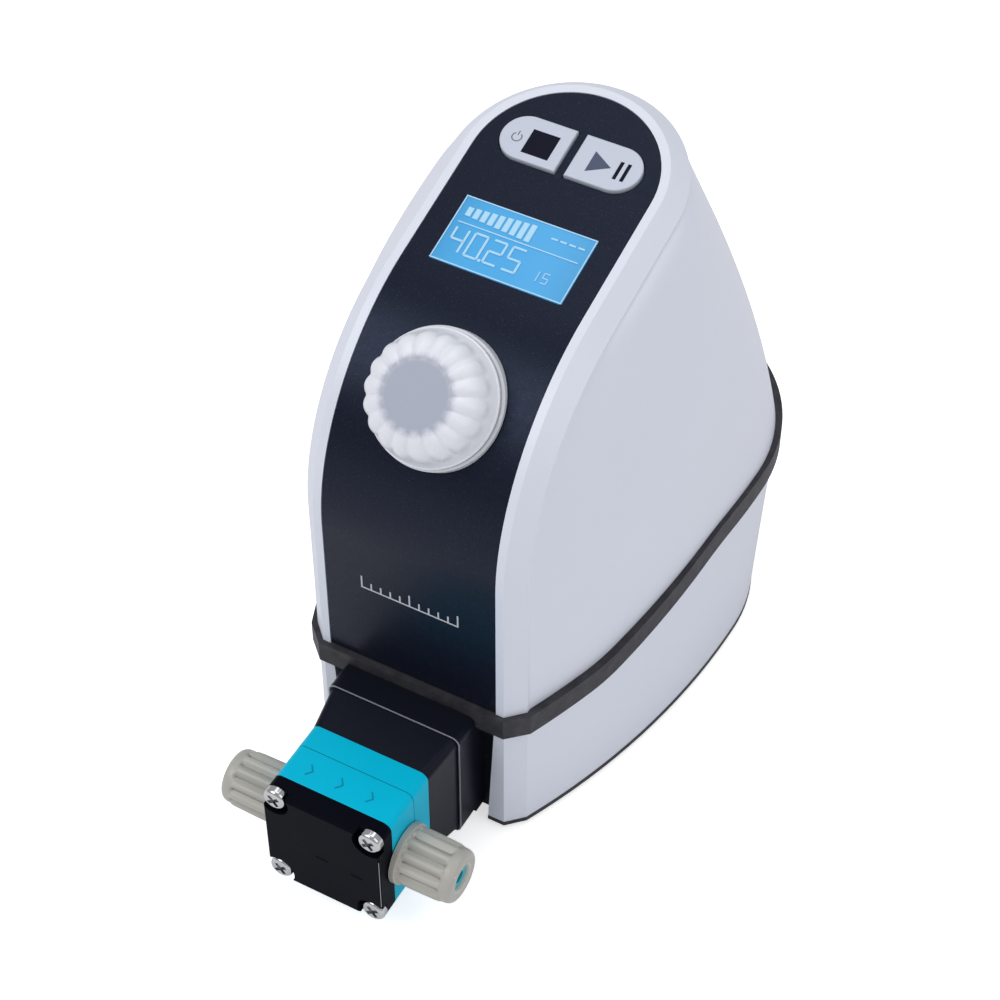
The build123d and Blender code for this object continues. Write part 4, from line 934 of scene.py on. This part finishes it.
@dataclass
class KeyMarks:
    """Printed marks on the two keys."""

    up: float = 27.4
    proud: float = 0.8
    ink: float = 0.04
    square: float = 6.7

    def build(self, bench: Bench) -> None:
        """Power ring and square on the left key, triangle and two bars on the right key."""
        place = slope_place(self.up, self.proud - 0.01)
        power = bmesh.new()
        ring_arc(power, (-13.2, -0.7), 1.15, 0.28, (125, 415), self.ink, place)
        oblong(power, (-13.2, 0.45), (0.28, 1.2), self.ink, place)
        bench.lay("power_mark", power, Body.STOP_KEY, "key_grey", "grey_ink")
        stop = bmesh.new()
        oblong(stop, (-7.2, -0.7), (self.square, self.square), self.ink, place)
        bench.lay("stop_mark", stop, Body.STOP_KEY, "key_grey", "dark_ink")
        start = bmesh.new()
        slab(start, [(5.1, -3.4), (10.2, -0.5), (5.1, 2.4)], self.ink, place)
        bench.lay("start_mark", start, Body.START_KEY, "key_grey", "slate_ink")
        bars = bmesh.new()
        for x in (12.0, 13.8):
            oblong(bars, (x, -0.5), (0.85, 4.9), self.ink, place)
        bench.lay("pause_mark", bars, Body.START_KEY, "key_grey", "dark_ink")


@dataclass
class PanelScale:
    """Plain tick scale printed low on the panel."""

    middle_z: float = 66.0
    half: float = 12.5
    ink: float = 0.04
    depth: float = 0.15

    def build(self, bench: Bench) -> None:
        """Two rules with a row of ticks between them."""
        place = facing(self.depth, self.middle_z)
        scale = bmesh.new()
        oblong(scale, (0, 0), (2 * self.half + 0.4, 0.4), self.ink, place)
        for i in range(11):
            tall = 3.4 if i % 5 == 0 else 1.9
            x = -self.half + self.half * i / 5
            oblong(scale, (x, 0.2 + tall / 2), (0.4, tall), self.ink, place)
        bench.lay("panel_scale", scale, Body.HOUSING, "panel_black", "silver_ink")


@dataclass
class HeadMarks:
    """Moulded marks on the pump head, and pale strips of painted highlight on its edges."""

    proud: float = 0.12
    plate_half: float = 15.4
    plate_corner: float = 2.2
    joint: float = -25.9        # between the two teal plates, from the panel plane
    block_half: float = 17.6
    block_front: float = -8.8   # step of the adapter
    arrows_y: float = -28.6

    def chevron(self, shape: bmesh.types.BMesh, centre: Point, size: float, place: Matrix) -> None:
        """Add one flow arrow that points along +x.

        Args:
            shape: The shape that gets it.
            centre: Its middle.
            size: Its height.
            place: Frame.
        """
        x, y = centre
        for side in (-1, 1):
            middle = (x - size * 0.18, y + side * size * 0.25)
            oblong(shape, middle, (size * 0.62, 0.3), self.proud, place, -side * 52)

    def build(self, bench: Bench) -> None:
        """Flow arrows on top of the teal block in a darker teal of painted shade, short ribs on the
        front plate, a joint line, and pale strips of painted highlight on the front plate's edge
        and the adapter's step.
        """
        top_z = GROUND_GAP + HEAD_HEIGHT + self.plate_half - 0.02
        top = tilted(Vector((0, PANEL_Y + self.arrows_y, top_z)), Vector((1, 0, 0)),
                     Vector((0, 1, 0)))
        arrows = bmesh.new()
        for x in (-8.0, 0.0, 8.0):
            self.chevron(arrows, (x, -2.6), 3.2, top)
        # the moulded arrows take a darker teal as painted shade
        bench.lay("flow_arrows", arrows, Body.HOUSING, "head_teal", "teal_painted_shade")
        front = facing(PLATE_FACE + 0.02, HEAD_HEIGHT)
        ribs = bmesh.new()
        for x, z in ((-0.2, -0.9), (9.0, -1.5)):
            oblong(ribs, (x, z), (3.2, 0.4), self.proud, front, -3.0)
        bench.lay("front_plate_ribs", ribs, Body.HOUSING, "front_plate_black", "front_plate_black")
        # a pale strip on the front plate's right edge: a painted highlight
        edge = bmesh.new()
        oblong(edge, (self.plate_half - 0.1, -0.2), (0.16, 17.0), self.proud * 0.5, front)
        bench.lay("front_plate_painted_highlight", edge, Body.HOUSING, "front_plate_black", "painted_edge_highlight")
        joint = bmesh.new()
        hoop(joint, self.plate_half + 0.03, self.plate_corner + 0.03, 0.2, 0.14,
             facing(self.joint + 0.07, HEAD_HEIGHT))
        bench.lay("head_joint_line", joint, Body.HOUSING, "head_teal", "joint_dark")
        # a pale hoop on the adapter's step edge: a painted highlight
        adapter_highlight = bmesh.new()
        hoop(adapter_highlight, self.block_half + 0.02, self.plate_corner + 0.02, 0.3, 0.16,
             facing(self.block_front + 0.08, HEAD_HEIGHT))
        bench.lay("adapter_painted_highlight", adapter_highlight, Body.HOUSING, "head_black", "painted_edge_highlight")


@dataclass
class SignalPins:
    """Contact pins in the round rear socket."""

    x: float = 10.0
    z: float = 23.0
    y: float = 120.6
    count: int = 6
    circle: float = 3.4

    def build(self, bench: Bench) -> None:
        """A ring of pins and one in the middle."""
        pins = bmesh.new()
        turn = Matrix.Rotation(-math.pi / 2, 4, "X")
        angles = [math.tau * i / self.count for i in range(self.count)]
        spots = [(0.0, 0.0)]
        spots += [(self.circle * math.cos(a), self.circle * math.sin(a)) for a in angles]
        for dx, dz in spots:
            made = bmesh.ops.create_cone(pins, cap_ends=True, segments=16, radius1=0.5,
                                         radius2=0.36, depth=1.9)
            move = Matrix.Translation((self.x + dx, PANEL_Y + self.y + 0.9,
                                       GROUND_GAP + self.z + dz))
            bmesh.ops.transform(pins, matrix=Matrix.Scale(MM, 4) @ move @ turn, verts=made["verts"])
        bench.lay("signal_pins", pins, Body.HOUSING, "steel", "gold_contact", 40.0)


# ------------------------------------------------------------------ the whole pump's finishes
FINISHES: dict[str, Finish] = {
    "housing_white": MouldedPlastic((0.735, 0.765, 0.86), 0.36, grain_mm=0.3, relief_mm=0.006,
                                    clouding=0.012),
    "base_grey": MouldedPlastic((0.02, 0.02, 0.025), 0.5),
    "seam_rubber": Elastomer((0.012, 0.011, 0.018), 0.5),
    "panel_black": GrainedPanel((0.004, 0.005, 0.012), 0.36),
    "display_blue": BacklitGlass((0.065, 0.36, 0.70), 0.2),
    "lit_figures": PrintedInk((0.42, 0.70, 0.90), 0.3, glow=0.06),
    "display_frame": MouldedPlastic((0.05, 0.05, 0.055), 0.5),
    "key_grey": MouldedPlastic((0.56, 0.60, 0.70), 0.34, grain_mm=0.25, relief_mm=0.006,
                               clouding=0.015),
    "grey_ink": PrintedInk((0.19, 0.19, 0.20), 0.4),
    "dark_ink": PrintedInk((0.006, 0.007, 0.018), 0.35, specular=0.08),
    "slate_ink": PrintedInk((0.085, 0.105, 0.17), 0.4),
    "silver_ink": PrintedInk((0.55, 0.56, 0.60), 0.35),
    "knob_pearl": PearlPlastic((0.80, 0.82, 0.885), 0.32, crown=(0.33, 0.355, 0.45)),
    "ring_pearl": PearlPlastic((0.55, 0.57, 0.63), 0.36),
    "board_green": Laminate((0.02, 0.14, 0.06), 0.4),
    "switch_black": MouldedPlastic((0.02, 0.02, 0.022), 0.45),
    "ground_steel": WorkedMetal((0.55, 0.55, 0.57), 0.3),
    "bright_screw": WorkedMetal((0.62, 0.62, 0.64), 0.16, lay=(1.0, 1.0, 1.0), mark_mm=3.0),
    "dark_screw": WorkedMetal((0.22, 0.22, 0.24), 0.35, lay=(1.0, 1.0, 1.0), mark_mm=2.0),
    "head_black": MouldedPlastic((0.007, 0.008, 0.014), 0.3, grain_mm=0.5, relief_mm=0.02,
                                 clouding=0.1, specular=0.14, tint=(0.6, 0.7, 1.0)),
    "front_plate_black": MouldedPlastic((0.003, 0.0034, 0.007), 0.4, grain_mm=0.6, relief_mm=0.03,
                                        clouding=0.1, specular=0.035, tint=(0.6, 0.7, 1.0)),
    "head_teal": MouldedPlastic((0.002, 0.52, 0.76), 0.4, grain_mm=0.4, relief_mm=0.012,
                                clouding=0.04, specular=0.12, tint=(0.3, 0.9, 1.0)),
    # darker teal: painted shade that makes the moulded arrows show
    "teal_painted_shade": MouldedPlastic((0.002, 0.27, 0.42), 0.45, grain_mm=0.4, relief_mm=0.012,
                                 clouding=0.04, specular=0.1),
    # pale colour for the strips of painted edge highlight on the front plate and the adapter
    "painted_edge_highlight": MouldedPlastic((0.30, 0.31, 0.36), 0.3, grain_mm=0.4, relief_mm=0.006),
    "joint_dark": MouldedPlastic((0.001, 0.08, 0.13), 0.5, grain_mm=0.4, relief_mm=0.006,
                                 specular=0.1),
    "sleeve_teal": MouldedPlastic((0.03, 0.42, 0.50), 0.35),
    "nut_beige": RibbedPlastic((0.44, 0.43, 0.39), 0.36),
    "elastomer": Elastomer((0.03, 0.03, 0.03), 0.6),
    "valve_ceramic": MouldedPlastic((0.80, 0.78, 0.72), 0.28, grain_mm=0.2, relief_mm=0.004,
                                    clouding=0.02, coat=0.3),
    "drive_alloy": CastAlloy((0.55, 0.56, 0.58), 0.45),
    "motor_black": MouldedPlastic((0.025, 0.025, 0.03), 0.4),
    "rod_plastic": MouldedPlastic((0.72, 0.70, 0.62), 0.4),
    "socket_black": MouldedPlastic((0.018, 0.018, 0.02), 0.42),
    "gold_contact": WorkedMetal((0.80, 0.58, 0.22), 0.25, lay=(1.0, 1.0, 1.0), mark_mm=1.0),
}

SLOT_FINISH: dict[str, str] = {
    "display_glass": "display_blue", "steel": "ground_steel", "bright_screws": "bright_screw",
    "dark_screws": "dark_screw", "core_steel": "ground_steel", "crank_steel": "ground_steel",
}


@dataclass
class Studio:
    """Floor, lamps and camera."""

    camera_at: tuple[float, float, float] = (0.1994, -0.36265, 0.4901)
    azimuth_deg: float = 29.23
    elevation_deg: float = 46.22
    roll_deg: float = -0.15
    lens_mm: float = 90.0
    sky: float = 0.44
    floor_glow: float = 0.6

    def floor(self) -> None:
        """A wide pale floor that turns white for the camera."""
        shape = bmesh.new()
        bmesh.ops.create_grid(shape, x_segments=1, y_segments=1, size=4.0)
        mesh = bpy.data.meshes.new("studio_floor")
        shape.to_mesh(mesh)
        shape.free()
        made = bpy.data.objects.new("studio_floor", mesh)
        bpy.context.scene.collection.objects.link(made)
        graph = Graph("studio_floor")
        speck = graph.noise(4.0, 2.0)
        graph.set(Base_Color=graph.mix(speck, (0.93, 0.93, 0.935), (0.95, 0.95, 0.955)),
                  Roughness=0.9, Specular_IOR_Level=0.1)
        glow = graph.node("ShaderNodeEmission", None, {"Strength": self.floor_glow})
        plain = graph.shader.outputs[0]
        lit = graph.node("ShaderNodeAddShader", None, {0: plain, 1: glow.outputs[0]})
        seen = graph.node("ShaderNodeLightPath").outputs["Is Camera Ray"]
        blend = graph.node("ShaderNodeMixShader", None, {0: seen, 1: plain, 2: lit.outputs[0]})
        graph.tree.links.new(blend.outputs[0], graph.output.inputs["Surface"])
        mesh.materials.append(graph.material)

    def lamp(self, name: str, place: tuple[float, float, float], watts: float, size: float) -> None:
        """Add an area lamp that looks at the pump.

        Args:
            name: Name of the lamp.
            place: Where it hangs, in metres.
            watts: Its power.
            size: Side of the square.
        """
        data = bpy.data.lights.new(name, "AREA")
        data.energy = watts
        data.size = size
        made = bpy.data.objects.new(name, data)
        made.location = place
        aim = Vector((0, 0, 0.07)) - Vector(place)
        made.rotation_euler = aim.to_track_quat("-Z", "Y").to_euler()
        bpy.context.scene.collection.objects.link(made)

    def world(self) -> None:
        """Even surroundings, white where the camera looks."""
        world = bpy.data.worlds.new("studio_world")
        world.use_nodes = True
        tree = world.node_tree
        tree.nodes.clear()
        path = tree.nodes.new("ShaderNodeLightPath")
        dim = tree.nodes.new("ShaderNodeBackground")
        dim.inputs["Color"].default_value = (0.96, 0.97, 1.0, 1.0)
        dim.inputs["Strength"].default_value = self.sky
        white = tree.nodes.new("ShaderNodeBackground")
        white.inputs["Strength"].default_value = 1.0
        blend = tree.nodes.new("ShaderNodeMixShader")
        output = tree.nodes.new("ShaderNodeOutputWorld")
        tree.links.new(path.outputs["Is Camera Ray"], blend.inputs[0])
        tree.links.new(dim.outputs[0], blend.inputs[1])
        tree.links.new(white.outputs[0], blend.inputs[2])
        tree.links.new(blend.outputs[0], output.inputs["Surface"])
        bpy.context.scene.world = world

    def camera(self) -> None:
        """Camera at the height and turn from which the pump is looked at."""
        a, e = math.radians(self.azimuth_deg), math.radians(self.elevation_deg)
        look = Vector((-math.sin(a) * math.cos(e), math.cos(a) * math.cos(e), -math.sin(e)))
        data = bpy.data.cameras.new("view")
        data.lens = self.lens_mm
        data.sensor_width = 36.0
        made = bpy.data.objects.new("view", data)
        made.location = self.camera_at
        made.rotation_mode = "QUATERNION"
        roll = Matrix.Rotation(math.radians(self.roll_deg), 3, "Z").to_quaternion()
        made.rotation_quaternion = look.to_track_quat("-Z", "Y") @ roll
        bpy.context.scene.collection.objects.link(made)
        bpy.context.scene.camera = made

    def build(self) -> None:
        """Set the stage."""
        self.floor()
        self.world()
        self.lamp("key_lamp", (-0.55, -0.75, 1.05), 6.4, 0.8)
        self.lamp("fill_lamp", (0.95, -0.15, 0.70), 2.6, 0.9)
        self.lamp("top_lamp", (0.0, 0.35, 1.25), 3.6, 0.9)
        self.camera()
        bpy.context.scene.view_settings.view_transform = "Standard"


def dress_solids(bench: Bench) -> None:
    """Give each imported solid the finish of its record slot.

    Args:
        bench: The bench with the finished materials.
    """
    for part in frame["record"]["subparts"]:
        slot = part["material_slot"]
        bench.finish_node(part["node"], SLOT_FINISH.get(slot, slot))


def main() -> None:
    """Build the scene."""
    logging.basicConfig(level=logging.INFO, format="%(name)s: %(message)s")
    Studio().build()
    bench = Bench({name: finish.build(name) for name, finish in FINISHES.items()})
    dress_solids(bench)
    for group in (Knob, UnionNuts, Display, KeyMarks, PanelScale, HeadMarks, SignalPins):
        group().build(bench)


if __name__ == "__main__":
    main()
